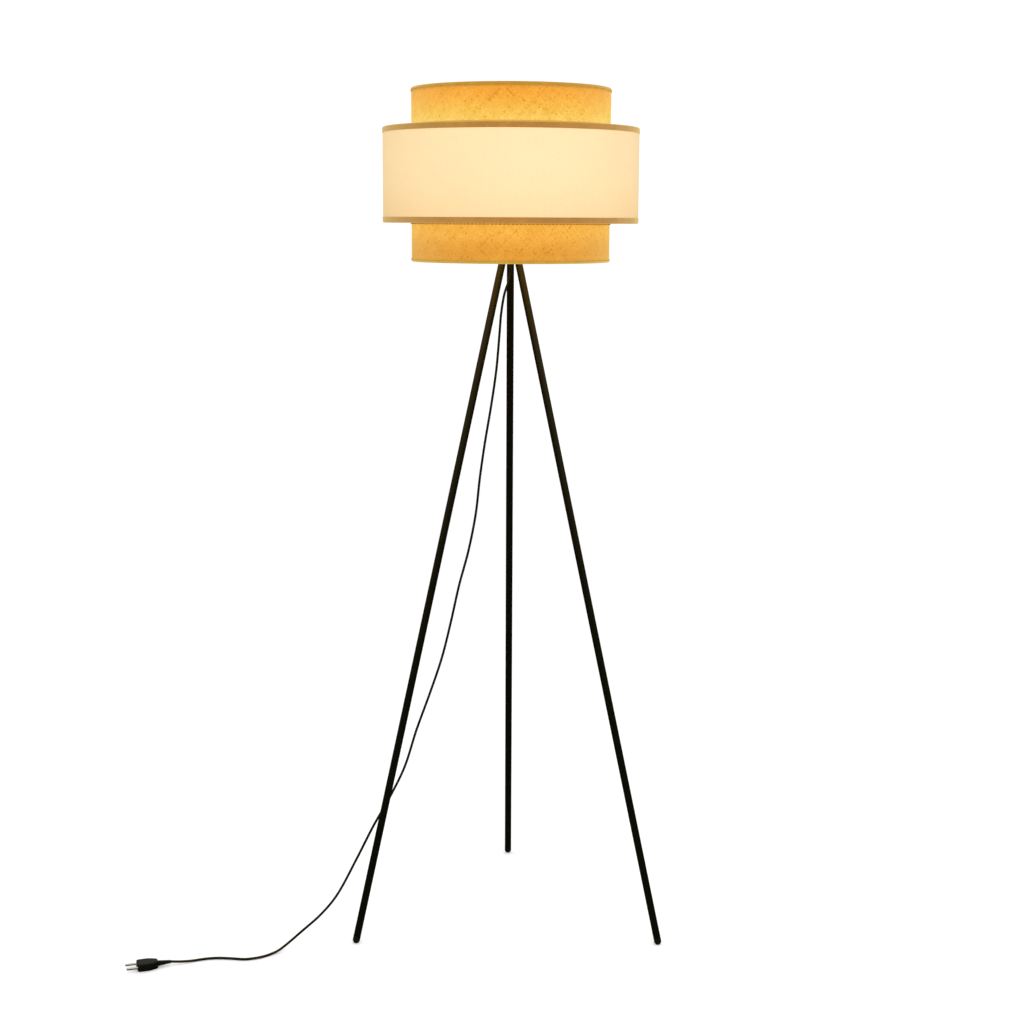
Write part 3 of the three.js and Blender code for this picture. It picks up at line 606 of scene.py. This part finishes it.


# %% [markdown]
# Each cloth is stretched between two heights, which a table holds in millimetres. A few strands show
# dark in the photograph, and get painted shade, as thick strands that hold back the glow. Each is given
# by the way it runs, its angle, its heights and its depth.

# %% The two tiers
CLOTHS = {"upper_tier": (1442.1, 1508.9), "linen_band": (1278.6, 1441.4), "lower_tier": (1211.1, 1277.9)}
DARK_STRANDS = {
    "upper": [(1, -1.678, 1498, 1477, 0.22), (0, -1.62, 1498, 1485, 0.26), (0, -1.461, 1482, 1476, 0.16)],
    "lower": [(1, -1.83, 1248, 1236, 0.18)],
}
rattan_weave = rattan_finish("rattan_weave", WEAVE_GLOW)
tiers = {}
for tier, strands in DARK_STRANDS.items():
    points, faces, tone, places = woven_skin(*CLOTHS[f"{tier}_tier"], strands)
    tiers[tier] = made = make_piece(
        f"{tier}_rattan_weave", points, faces, rattan_weave, "shade", "rattan",
        [f"{tier}_tier_skin"], crease=80,
    )
    keep_on_points(made, "strand_tone_and_shade", "FLOAT", tone)
    keep_on_points(made, "strand_place", "FLOAT_VECTOR", places)
    print(tier, "weave:", len(points), "points")

# %% [markdown]
# ## The linen band
# The middle band is plain linen on a stiff lining, so it is smooth, with only thicker threads here
# and there. The cylinder is made of fine columns that wander by a tenth of a millimetre, as
# stretched cloth does. Its threads are thinner than the picture can show, so they are bumps and
# slight changes of tone. Two stretched noises give the slubs, one each way.

# %% Ring of cloth
def cloth_ring(outer, inner, low, high, columns, rows, wander=0):
    """A closed ring of cloth with its seam at the back."""
    points = []
    rings = [(outer, low + (high - low) * r / rows, wander) for r in range(rows + 1)]
    rings += [(inner, high, 0), (inner, low, 0)]
    for radius, level, amount in rings:
        for c in range(columns):
            angle = BACK + TURN * c / columns
            wave = math.sin(7 * angle + level / 19) + math.sin(23 * angle - level / 11) * 0.5
            points.append(polar(radius + amount * wave, angle, level))
    return points, ring_faces(len(rings), columns, looped=True)


# %% Linen finish
def linen_finish(name):
    """Pale linen lit from behind: cream in the middle, warmer towards its lower edge."""
    finish = blank(name, Roughness=0.8, Sheen_Weight=0.05, Sheen_Roughness=0.6, Specular_IOR_Level=0.2)
    ways = ((60, 60, 900), (520, 520, 45))
    slub = maths(finish, "ADD", *[surface_noise(finish, 1, way, Detail=4, Roughness=0.65) for way in ways])
    threads = spread(finish, slub, 0.75, 1.25, 0.965, 1.03)
    patches = spread(finish, surface_noise(finish, 14), 0.3, 0.7, 0.985, 1.01)
    shade = maths(finish, "MULTIPLY", threads, patches)
    light = by_height(
        finish, (1278, (0.42, 0.215, 0.005)), (1300, (0.46, 0.262, 0.012)), (1345, (0.48, 0.31, 0.062)),
        (1385, (0.48, 0.322, 0.075)), (1442, (0.48, 0.315, 0.067)),
    )
    glow(finish, node(finish, "VectorMath", {"operation": "SCALE"}, Vector=light, Scale=shade)[0], 1)
    feed(finish, Base_Color=ramp(finish, shade, (0.9, (0.36, 0.285, 0.21)), (1, (0.4, 0.33, 0.26))))
    bumps(finish, slub, 0.00015)
    return finish


# %% Linen band
LINEN_FACE, LINEN_BACK = 224.9, 224.05
linen = linen_finish("lit_linen")
made = cloth_ring(LINEN_FACE, LINEN_BACK, *CLOTHS["linen_band"], 640, 56, wander=0.06)
band = make_piece("linen_band", *made, linen, "shade", "linen", ["linen_band_skin"], crease=60)
print("band", [round(v, 3) for v in band.dimensions])

# %% [markdown]
# Behind each cloth is a thin white film, which spreads the bulb's light so that no hot spot shows.
# It is seen from above and below only, as a bright wall round the bulb.

# %% Lining films
TIER_FILM, BAND_FILM, FILM_THICK = 173.3, 223.7, 0.5
film = blank("lining_film", Roughness=0.5, Specular_IOR_Level=0.3)
grain = surface_noise(film, 260, Detail=3)
feed(film, Base_Color=ramp(film, grain, (0.3, (0.62, 0.55, 0.42)), (0.7, (0.68, 0.61, 0.48))))
# Painted light: the film gives off its own light, in place of the bulb's light falling on it.
glow(film, ramp(film, grain, (0.3, (0.5, 0.36, 0.17)), (0.7, (0.54, 0.4, 0.2))), 0.45)
for name, span in CLOTHS.items():
    outer = BAND_FILM if name == "linen_band" else TIER_FILM
    wall = cloth_ring(outer, outer - FILM_THICK, *span, 160, 4)
    make_piece(f"{name}_film", *wall, film, "shade", "shade_film", [f"{name}_liner"])
print("films", list(CLOTHS))

# %% [markdown]
# ## Folded edges and brown tape
# Each rim is finished by cloth that folds over the skin, the film and the wire ring behind them. On
# the tiers it is the rattan itself, and on the band it is a woven brown tape. A flat strip would
# end in a hard line, so the fold is a bent strip: a path drawn over the rim, given a thickness, its
# corners softened, and spun round.

# %% Folds over the rims
RING, WIRE_IN = 2, 4.6
UPPER_RIM, UPPER_FOOT, LOWER_HEAD, LOWER_RIM = 1510, 1441, 1279, 1210
BAND_TOP, BAND_BOTTOM = 1442.5, 1277.5


def fold(name, cad_node, edge, inward, width, outer, finish, slot, thick=0.6):
    """A strip bent over a rim and its ring wire. inward is -1 where the cloth hangs down from it."""
    face = outer + 0.05 + thick / 2
    behind = outer - WIRE_IN - RING - thick / 2 - 0.25
    middle = [
        (face, edge + inward * width), (face, edge + inward * thick / 2),
        (behind, edge + inward * thick / 2), (behind, edge + inward * (WIRE_IN + 1)),
    ]
    middle = softened(middle, 3, 7, looped=False)
    ways = [Vector(b) - Vector(a) for a, b in zip(middle, middle[2:])]
    ways.append(Vector(middle[-1]) - Vector(middle[-2]))
    sides = [[], []]
    for spot, back, ahead in zip(middle, [ways[0], *ways], [*ways, ways[-1]]):
        way = (back.normalized() + ahead.normalized()).normalized()
        out = Vector((way.y, -way.x)) * thick / 2
        sides[0].append(tuple(Vector(spot) + out))
        sides[1].append(tuple(Vector(spot) - out))
    strip = turned(sides[0] + sides[1][::-1], 220)
    return make_piece(name, *strip, finish, "shade", slot, [cad_node], crease=50)


# %% Tape finish
def tape_finish(name):
    """Brown twill tape with fine ribs and a little light through it."""
    finish = blank(
        name, Roughness=0.8, Sheen_Weight=0.65, Sheen_Roughness=0.6, Sheen_Tint=(1, 0.8, 0.34, 1),
        Specular_IOR_Level=0.2,
    )
    rib = surface_noise(finish, 1, (150, 150, 900), Detail=4)
    both = maths(finish, "ADD", rib, surface_noise(finish, 30, Detail=3))
    factor = spread(finish, both, 0.7, 1.3, 0, 1)
    feed(finish, Base_Color=ramp(finish, factor, (0, (0.185, 0.078, 0.015)), (1, (0.25, 0.114, 0.023))))
    glow(finish, ramp(finish, factor, (0, (0.09, 0.038, 0)), (1, (0.13, 0.052, 0.001))), 1)
    bumps(finish, rib, 0.0002, 0.6)
    return finish


# %% Folds and tapes in place
brown_tape = tape_finish("brown_twill_tape")
rattan_fold = rattan_finish("rattan_fold", FOLD_GLOW, woven=False, sheen=0.75, pale=(1, 0.76, 0.26))
rattan_lap = rattan_finish("rattan_lap", WEAVE_GLOW, woven=False, tones=(0.82, 0.93))
folds = {"upper": [], "lower": [], "band": []}
for name, cad_node, edge, inward, width in (
    ("upper_rim_fold", "upper_tier_top_hem", UPPER_RIM, -1, 6.5),
    ("upper_foot_fold", "upper_tier_bottom_hem", UPPER_FOOT, 1, 6),
    ("lower_head_fold", "lower_tier_top_hem", LOWER_HEAD, -1, 4),
    ("lower_rim_fold", "lower_tier_bottom_hem", LOWER_RIM, 1, 6),
    ("band_top_tape", "band_top_trim", BAND_TOP, -1, 10),
    ("band_bottom_tape", "band_bottom_trim", BAND_BOTTOM, 1, 10),
):
    cloth = name.split("_")[0]
    look = (BAND_RADIUS, brown_tape, "brown_tape")
    if cloth != "band":
        look = (TIER_RADIUS, rattan_fold, "rattan")
    folds[cloth].append(fold(name, cad_node, edge, inward, width, *look))
print("folds", sum(map(len, folds.values())))

# %% [markdown]
# A row of stitches holds each rattan fold. Under the band, the dark thread shows in the photograph
# as a thin broken line, and it also paints the band's shadow on the tier. Every stitch is a short
# rounded rod that sinks at both ends.

# %% Stitches
def stitches(name, out, level, pitch, finish, thick=0.42, cover=0.36):
    """One row of stitches round a tier; cover is half the share that thread takes."""
    radius = TIER_RADIUS + out
    count = round(TURN * radius / pitch)
    parts = []
    for k in range(count):
        middle = TURN * (k + 0.5 * draws.random() * 0.3) / count
        reach = cover * TURN / count
        line, sizes = [], []
        for s in np.linspace(-1, 1, 6):
            sunk = radius + 0.45 * (1 - abs(s) ** 3) - 0.3
            line.append(polar(sunk, middle + reach * s, level + 0.15 * s))
            sizes.append(thick * MM * math.sqrt(max(0.08, 1 - s**4)))
        parts.append(tube(line, sizes, 6))
    print(name, count)
    return make_piece(name, *gather(*parts), finish, "shade", "rattan")


THREAD = {"size": 0.0008, "rough": (0.6, 0.8), "bump": 0.00005, "Specular_IOR_Level": 0.2}
# Painted shadow: the dark, close stitches under the band also stand for the band's shadow on the tier, and
# their glow wanders along the row.
shadow_line_thread = grained("shadow_line_thread", (0.1, 0.036, 0.002), (0.18, 0.07, 0.005), **THREAD)
thread_wander = surface_noise(shadow_line_thread, 160)
glow(shadow_line_thread, ramp(shadow_line_thread, thread_wander, (0.35, (0.16, 0.055, 0)), (0.65, (0.3, 0.1, 0.001))), 1)
gold_thread = grained("gold_thread", (0.28, 0.14, 0.02), (0.36, 0.19, 0.035), **THREAD)
folds["lower"].append(stitches("lower_head_stitches", 0.85, 1276.2, 7, shadow_line_thread, 0.8, 0.31))
folds["lower"].append(stitches("lower_rim_stitches", 0.7, 1214.4, 4.2, gold_thread))
folds["upper"].append(stitches("upper_rim_stitches", 0.7, 1505, 4.2, gold_thread))

# %% [markdown]
# Where each cloth's two ends meet, at the back, one end laps over the other by a finger's width. The
# lap is a narrow strip that follows the drum, a little proud of it.

# %% Seams
def lap(name, radius, low, high, width, finish, slot):
    """The overlap at the back of a cloth ring."""
    reach = width / radius / 2
    layers = []
    for angle in np.linspace(BACK - reach, BACK + reach, 9):
        face = radius + (0.35 if abs(angle - BACK) < reach * 0.99 else 0)
        outline = ((radius - 0.5, low), (face, low), (face, high), (radius - 0.5, high))
        layers.append([polar(r, angle, z) for r, z in outline])
    return make_piece(name, *stacked(layers), finish, "shade", slot, crease=50)


folds["upper"].append(lap("upper_tier_lap", TIER_RADIUS, 1447.2, 1503.4, 12, rattan_lap, "rattan"))
folds["lower"].append(lap("lower_tier_lap", TIER_RADIUS, 1216.2, 1274.8, 12, rattan_lap, "rattan"))
folds["band"].append(lap("linen_band_lap", BAND_RADIUS, 1287.6, 1432.4, 14, linen, "linen"))
print("pieces on the cloths", sum(map(len, folds.values())))

# %% [markdown]
# ## The wire frame
# White enamelled wire carries the shade: rings at the rims, short struts across the open steps, and
# a spider of three arms that rise to the flat ring on the lampholder. Rings are turned from a round
# profile and straight wires are tubes. A small bead of weld sits at each joint.

# %% Wire shapes
white_wire = grained("white_enamel", (0.7, 0.66, 0.58), (0.8, 0.77, 0.7), 0.003, (0.25, 0.4), 0.00004)
STRUT, WIRE_UP, STRUT_UP = 1.5, 3.1, 1.8
TIER_WIRE, BAND_WIRE = TIER_RADIUS - WIRE_IN, BAND_RADIUS - 4.2
FITTER_RADIUS, FITTER_BORE, FITTER_THICK = 27.5, 20.75, 2


def wire_ring(radius, level):
    """A ring of round wire."""
    turns = [TURN * k / 12 for k in range(12)]
    return turned([(radius + RING * math.cos(t), level + RING * math.sin(t)) for t in turns], 160)


def straight_wire(start, end, thick):
    """A straight wire with softened ends."""
    line = [start.lerp(end, t) for t in (0, 0.01, 0.5, 0.99, 1)]
    return tube(line, [thick * MM * s for s in (0.7, 1, 1, 1, 0.7)], 10)


def bead(spot, size):
    """A drop of weld."""
    profile = [(size * math.sin(t), -size * math.cos(t)) for t in np.linspace(0, math.pi, 7)]
    profile[0], profile[-1] = (0, -size), (0, size)
    return turned(profile, 10, Matrix.Translation(spot), solid=True)


def step_wires(tier_edge, band_edge, inward):
    """The two rings of a step and the struts between them."""
    tier_level, band_level = tier_edge - inward * WIRE_UP, band_edge + inward * WIRE_UP
    strut_level = tier_edge + inward * STRUT_UP
    parts = [wire_ring(TIER_WIRE, tier_level), wire_ring(BAND_WIRE, band_level)]
    for k in range(6):
        angle = BACK + k * TURN / 6
        bend, end = (polar(wire, angle, strut_level) for wire in (TIER_WIRE, BAND_WIRE))
        parts.append(straight_wire(polar(TIER_WIRE, angle, tier_level), bend, STRUT))
        parts += [straight_wire(bend, end, STRUT), bead(bend, 2), bead(end, 2.3)]
    return parts


# %% Wire frame
def wire_piece(name, cad_node, *parts):
    """One welded part of the frame."""
    return make_piece(name, *gather(*parts), white_wire, "shade", "white_wire", [cad_node])


wire_piece("top_wire", "top_ring", wire_ring(TIER_WIRE, UPPER_RIM - WIRE_UP))
wire_piece("bottom_wire", "bottom_ring", wire_ring(TIER_WIRE, LOWER_RIM + WIRE_UP))
wire_piece("upper_step_wires", "upper_step_frame", *step_wires(UPPER_FOOT, BAND_TOP, -1))
fitter_high = heights("lower_step_frame")[1]
fitter_low = fitter_high - FITTER_THICK
fitter = [(FITTER_RADIUS, z) for z in (fitter_low, fitter_high)]
fitter += [(FITTER_BORE, z) for z in (fitter_high, fitter_low)]
spider = step_wires(LOWER_HEAD, BAND_BOTTOM, 1) + [turned(softened(fitter, 0.5, 3), 64)]
for k in range(3):
    angle = BACK + k * TURN / 3
    outer_end = polar(TIER_WIRE, angle, LOWER_HEAD - WIRE_UP)
    spider.append(straight_wire(outer_end, polar(26, angle, fitter_low + 1), RING))
    spider += [bead(outer_end, 2.8), bead(polar(27, angle, fitter_low + 1), 2.3)]
wire_piece("lower_step_spider", "lower_step_frame", *spider)
print("tier wire", TIER_WIRE, "band wire", BAND_WIRE)

# %% [markdown]
# ## Legs, feet and hub
# The legs are 13 mm steel tubes, powder coated in satin black, and they lean out at one angle. Each
# is turned in a frame of its own whose Z axis runs along the leg. The coat is nearly black and dull
# all over, because the photograph shows no white reflection on it, only a brown sheen from the
# shade, which a yellow tint of the gloss gives. The feet are rubber plugs with a domed end,
# flattened where they stand on the floor.

# %% Legs and feet
black_paint = grained(
    "satin_black_paint", (0.0012, 0.0011, 0.0004), (0.0024, 0.0022, 0.001), 0.0009, (0.34, 0.46), 0.00005,
    Specular_IOR_Level=0.24, Specular_Tint=(1, 0.98, 0.42, 1),
)
black_rubber = grained(
    "black_rubber", (0.0014, 0.0014, 0.001), (0.0032, 0.0032, 0.0026), 0.0006, (0.6, 0.8), 0.00005,
    Specular_IOR_Level=0.3, Specular_Tint=(1, 0.98, 0.6, 1),
)
SOCKET_REACH, SOCKET_HEIGHT, FOOT_REACH = 13.5, 1222, 314
LEG_RADIUS, LEG_BORE, FOOT_CENTRE, PLUG_IN = 6.5, 5.3, 5.7, 20
lean = math.atan2(FOOT_REACH - SOCKET_REACH, SOCKET_HEIGHT)
leg_run = (SOCKET_HEIGHT - FOOT_CENTRE) / math.cos(lean)
wall = [(LEG_RADIUS, -2.1), (LEG_RADIUS, 6.3 - leg_run), (LEG_BORE, 6.3 - leg_run), (LEG_BORE, -2.1)]
wall = softened(wall, 0.4, 2)
quarter = np.linspace(0, math.pi / 2, 14)
dome = [(LEG_RADIUS * math.sin(t), -leg_run - LEG_RADIUS * math.cos(t)) for t in quarter]
dome[0] = (0, -leg_run - LEG_RADIUS)
dome += [(r, z - leg_run) for r, z in ((6.5, 5.7), (6.2, 6), (5, 6), (5, PLUG_IN), (0, PLUG_IN))]
for k, leg in enumerate(("back", "left", "right")):
    angle = BACK + k * TURN / 3
    place = Matrix.Translation(polar(SOCKET_REACH, angle, SOCKET_HEIGHT))
    place = place @ Matrix.Rotation(angle, 4, "Z") @ Matrix.Rotation(-lean, 4, "Y")
    made = turned(wall, 48, place)
    make_piece(f"{leg}_leg", *made, black_paint, "stand", "black_paint", [f"leg_tube_{leg}"])
    points, faces = turned(dome, 48, place, solid=True)
    points = [Vector((p.x, p.y, max(p.z, 0))) for p in points]
    make_piece(f"{leg}_foot", points, faces, black_rubber, "stand", "black_rubber", [f"foot_{leg}"])
print(f"legs lean {math.degrees(lean):.2f} degrees and run {leg_run:.0f} mm")

# %% [markdown]
# The cord leaves the hub through a tapered rubber grip with ribs, which keeps it from kinking.

# %% Cord grip
grip_low, grip_high = heights("cord_grip")
neck, collar = SOCKET_HEIGHT, grip_high - 4
rib_places = [(3 + 0.14 * k, grip_low + 0.8 + 3.1 * k) for k in range(6)]
outside = ribs(rib_places, [(0, 0), (0.15, 0.3), (0.15, 1.5), (-0.45, 1.8), (-0.45, 2.7)])
outside = [(2.9, grip_low), *outside, (3.9, neck), (3.9, collar), (5, collar), (5, grip_high)]
outside += [(2.5, grip_high), (2.5, grip_low)]
make_piece("ribbed_cord_grip", *turned(outside, 36), black_rubber, "stand", "black_rubber", ["cord_grip"])
print(f"grip from {grip_low:.1f} to {grip_high:.1f} mm")

# %% [markdown]
# ## The bulb
# The bulb is a clear filament one. It is hidden in the photograph, but it shows from above. The glass
# is blown, so its wall is a thin closed shell with one smooth curve, made by spinning a rounded
# profile. The plated cap has a rolled thread, a helix whose radius swings in and out as it climbs.

# %% Glass
clear_glass = blank("clear_glass", Roughness=0.02, IOR=1.45, Transmission_Weight=1)
ripple = surface_noise(clear_glass, 90)
feed(clear_glass, Base_Color=ramp(clear_glass, ripple, (0.3, (1, 0.97, 0.91)), (0.7, (1, 0.99, 0.96))))
bumps(clear_glass, ripple, 0.0001, 0.3)
glass_low, glass_high = heights("bulb_glass")
print("glass", round(glass_low, 2), round(glass_high, 2))
BULB_RADIUS, NECK_RADIUS, GLASS_THICK = 30, 12.4, 0.8
centre_height = glass_high - BULB_RADIUS


def glass_wall(inset):
    """The bulb's outline: a narrow neck, a shoulder and a dome."""
    ball = BULB_RADIUS - inset
    neck = NECK_RADIUS - inset
    outline = [(neck, glass_low), (neck, glass_low + 8)]
    start = math.radians(-38)
    low_ball = Vector((ball * math.cos(start), centre_height + ball * math.sin(start)))
    neck_top = Vector((neck + 0.2, glass_low + 12))
    bend = Vector((neck + 3.1, glass_low + 24))
    for t in (k / 10 for k in range(1, 10)):
        outline.append(tuple(neck_top * (1 - t) ** 2 + bend * 2 * t * (1 - t) + low_ball * t * t))
    for t in np.linspace(start, math.pi / 2, 26):
        outline.append((ball * math.cos(t), centre_height + ball * math.sin(t)))
    outline[-1] = (0, centre_height + ball)
    return outline


made = turned(glass_wall(0) + glass_wall(GLASS_THICK)[::-1], 64)
glass = make_piece("blown_glass", *made, clear_glass, "bulb", "bulb_glass", ["bulb_glass"], crease=60)
glass.visible_shadow = False

# %% Threaded cap
CAP_RADIUS, THREAD_DEPTH, THREAD_PITCH = 12.75, 0.45, 3.6
CAP_SIDES, CAP_ROWS = 64, 60
cap_low, cap_high = heights("bulb_cap")
cap_points = []
for r in range(CAP_ROWS + 1):
    z = cap_low + (cap_high - cap_low) * r / CAP_ROWS
    depth = THREAD_DEPTH * max(min(1, (z - cap_low) / 2, (cap_high - z) / 3), 0)
    for s in range(CAP_SIDES):
        phase = TURN * ((z - cap_low) / THREAD_PITCH - s / CAP_SIDES)
        cap_points.append(polar(CAP_RADIUS + depth * math.sin(phase), TURN * s / CAP_SIDES, z))
for radius, z in ((12.2, cap_high), (11.8, cap_low)):
    cap_points += [polar(radius, TURN * s / CAP_SIDES, z) for s in range(CAP_SIDES)]
cap_faces = ring_faces(CAP_ROWS + 3, CAP_SIDES, looped=True)
make_piece("threaded_bulb_cap", cap_points, cap_faces, nickel, "bulb", "nickel", ["bulb_cap"], crease=60)
print("cap", round(cap_low, 2), round(cap_high, 2))

# %% [markdown]
# ## Carried-over parts
# The rest keeps its CAD shape: studs, nuts, the lampholder and its wires are small, mostly hidden
# and already right. A table says for each finish its two tones, the size of its grains, its polish
# and bumps, what else sets it apart, and the nodes that wear it.

# %% Finishes for the CAD nodes
METAL = {"Metallic": 1}
filament = blank("glowing_filament", Roughness=0.6)
hot_spot = surface_noise(filament, 900)
feed(filament, Base_Color=ramp(filament, hot_spot, (0.3, (0.9, 0.6, 0.2)), (0.7, (1, 0.72, 0.3))))
glow(filament, ramp(filament, hot_spot, (0.3, (1, 0.62, 0.22)), (0.7, (1, 0.75, 0.36))), 2.6)
node_finishes = {
    "hub": black_paint, "cord_inside_hub": black_cord, "bulb_contact": nickel,
    "bulb_stem": clear_glass, "bulb_filaments": filament,
}
for name, dark, light, size, rough, bump, plain, nodes in (
    ("zinc_plate", (0.48, 0.48, 0.46), (0.66, 0.66, 0.64), 0.0015, (0.28, 0.45), 0.00002, METAL, (
        "threaded_tube", "lock_nut", "terminal_screw_live", "terminal_screw_neutral",
        "leg_insert_back", "leg_insert_left", "leg_insert_right",
        "leg_stud_back", "leg_stud_left", "leg_stud_right")),
    ("drawn_brass", (0.58, 0.4, 0.15), (0.74, 0.54, 0.24), 0.0012, (0.2, 0.38), 0.00002, METAL, (
        "screw_shell", "centre_contact", "switch_shaft")),
    ("glazed_ceramic", (0.74, 0.71, 0.64), (0.82, 0.8, 0.74), 0.004, (0.08, 0.2), 0.00003,
        {"Coat_Weight": 0.4}, ("lampholder_core",)),
    ("moulded_black_plastic", (0.008, 0.008, 0.008), (0.014, 0.014, 0.013), 0.0008, (0.35, 0.5), 0.00003,
        {}, ("lampholder_cap", "lampholder_sleeve", "switch_knob", "shade_ring")),
    ("brown_insulation", (0.1, 0.04, 0.018), (0.15, 0.065, 0.03), 0.0007, (0.4, 0.55), 0.00002,
        {}, ("wire_live",)),
    ("blue_insulation", (0.02, 0.06, 0.24), (0.035, 0.09, 0.32), 0.0007, (0.4, 0.55), 0.00002,
        {}, ("wire_neutral",)),
    ("black_glass_insulator", (0.006, 0.006, 0.007), (0.012, 0.012, 0.012), 0.002, (0.05, 0.15), 0.00002,
        {}, ("bulb_insulator",)),
):
    node_finishes |= dict.fromkeys(nodes, grained(name, dark, light, size, rough, bump, **plain))
for name, finish in node_finishes.items():
    for place in frame["nodes"][name].material_slots:
        place.material = finish
frame["nodes"]["bulb_stem"].visible_shadow = False
print("CAD nodes with a finish:", len(node_finishes))

# %% [markdown]
# ## Floor and light
# The photograph is a cut-out on white with hardly a shadow. A white room gives that: a sky a little
# brighter than white lights the lamp from all sides, and the pale floor comes out white as well.
# Black paint would mirror so much white, so mirrored rays meet a dimmer sky that is bright
# overhead only. The sky is not sampled as a lamp, because that scatters specks over the weave.
#
# One large soft light beside the camera gives the round forms a gentle front. A weak lamp stands
# for the bulb: the films glow by themselves, and a strong one would burn out the shade's inside. Its
# ball of light is hidden from view, so that the filaments show through the glass. The warm light
# that spills down on the legs comes from a disc high above, so that it fades slowly down their
# length, as in the photograph. Light linking lets only the legs and the cord receive it, and lets
# nothing else stand in its way.

# %% White room
world = bpy.data.worlds.new("white_room")
bpy.context.scene.world = world
world.use_nodes = True
world.cycles.sampling_method = "NONE"
sky = world.node_tree.nodes["Background"].inputs
sky["Color"].default_value = (1, 1, 1, 1)
upness = node(world, "SeparateXYZ", Vector=node(world, "TexCoord")["Generated"])["Z"]
mirrored = spread(world, upness, 0.22, 0.42, 0.05, 0.8)
path = node(world, "LightPath")
not_through = maths(world, "SUBTRACT", 1, path["Is Transmission Ray"])
in_gloss = maths(world, "MULTIPLY", path["Is Glossy Ray"], not_through)
brightness = node(world, "Mix", Factor=in_gloss, _2=1.05, _3=mirrored)[0]
world.node_tree.links.new(brightness, sky["Strength"])
print("sky nodes", len(world.node_tree.nodes))

# %% Floor
FLOOR_REACH, FLOOR_LEVEL = 6, -0.0003
floor_finish = grained(
    "pale_floor", (0.965, 0.965, 0.965), (0.975, 0.975, 0.975), 0.02, (0.7, 0.8), Specular_IOR_Level=0.1,
)
corners = [(x * FLOOR_REACH, y * FLOOR_REACH, FLOOR_LEVEL) for x, y in ((-1, -1), (1, -1), (1, 1), (-1, 1))]
floor_mesh = bpy.data.meshes.new("floor")
floor_mesh.from_pydata(corners, [], [(0, 1, 2, 3)])
floor_mesh.materials.append(floor_finish)
floor = bpy.data.objects.new("floor", floor_mesh)
bpy.context.collection.objects.link(floor)
floor.visible_glossy = False
print("floor", list(floor.dimensions))


# %% Lamps
def add_light(name, kind, place, target=None, **settings):
    """A lamp with these settings, turned towards a target."""
    data = bpy.data.lights.new(name, kind)
    for key, value in settings.items():
        setattr(data, key, value)
    made = bpy.data.objects.new(name, data)
    made.location = place
    if target is not None:
        made.rotation_euler = (Vector(target) - Vector(place)).to_track_quat("-Z", "Y").to_euler()
    bpy.context.collection.objects.link(made)
    return made


BULB_MIDDLE, ABOVE_LAMP = 1356, 1650
soft_front = add_light("soft_front", "AREA", (0.5, -3.6, 2.3), (0, 0, 1.1), energy=65, size=2.4)
soft_front.visible_glossy = False
bulb_light = add_light(
    "bulb_light", "POINT", polar(0, 0, BULB_MIDDLE),
    energy=0.4, color=(1, 0.72, 0.38), shadow_soft_size=0.02,
)
bulb_light.visible_camera = bulb_light.visible_transmission = bulb_light.visible_glossy = False
leg_glow = add_light(
    "leg_glow", "AREA", polar(0, 0, ABOVE_LAMP), AXIS,
    energy=35, color=(1, 0.46, 0.05), size=0.34, shape="DISK",
)
leg_glow.visible_camera = leg_glow.visible_transmission = False
lit_from_above = bpy.data.collections.new("lit_from_above")
for piece in bpy.data.objects:
    if piece.type == "MESH" and ("_leg" in piece.name or piece.name == "mains_cord"):
        lit_from_above.objects.link(piece)
leg_glow.light_linking.receiver_collection = lit_from_above
leg_glow.light_linking.blocker_collection = lit_from_above
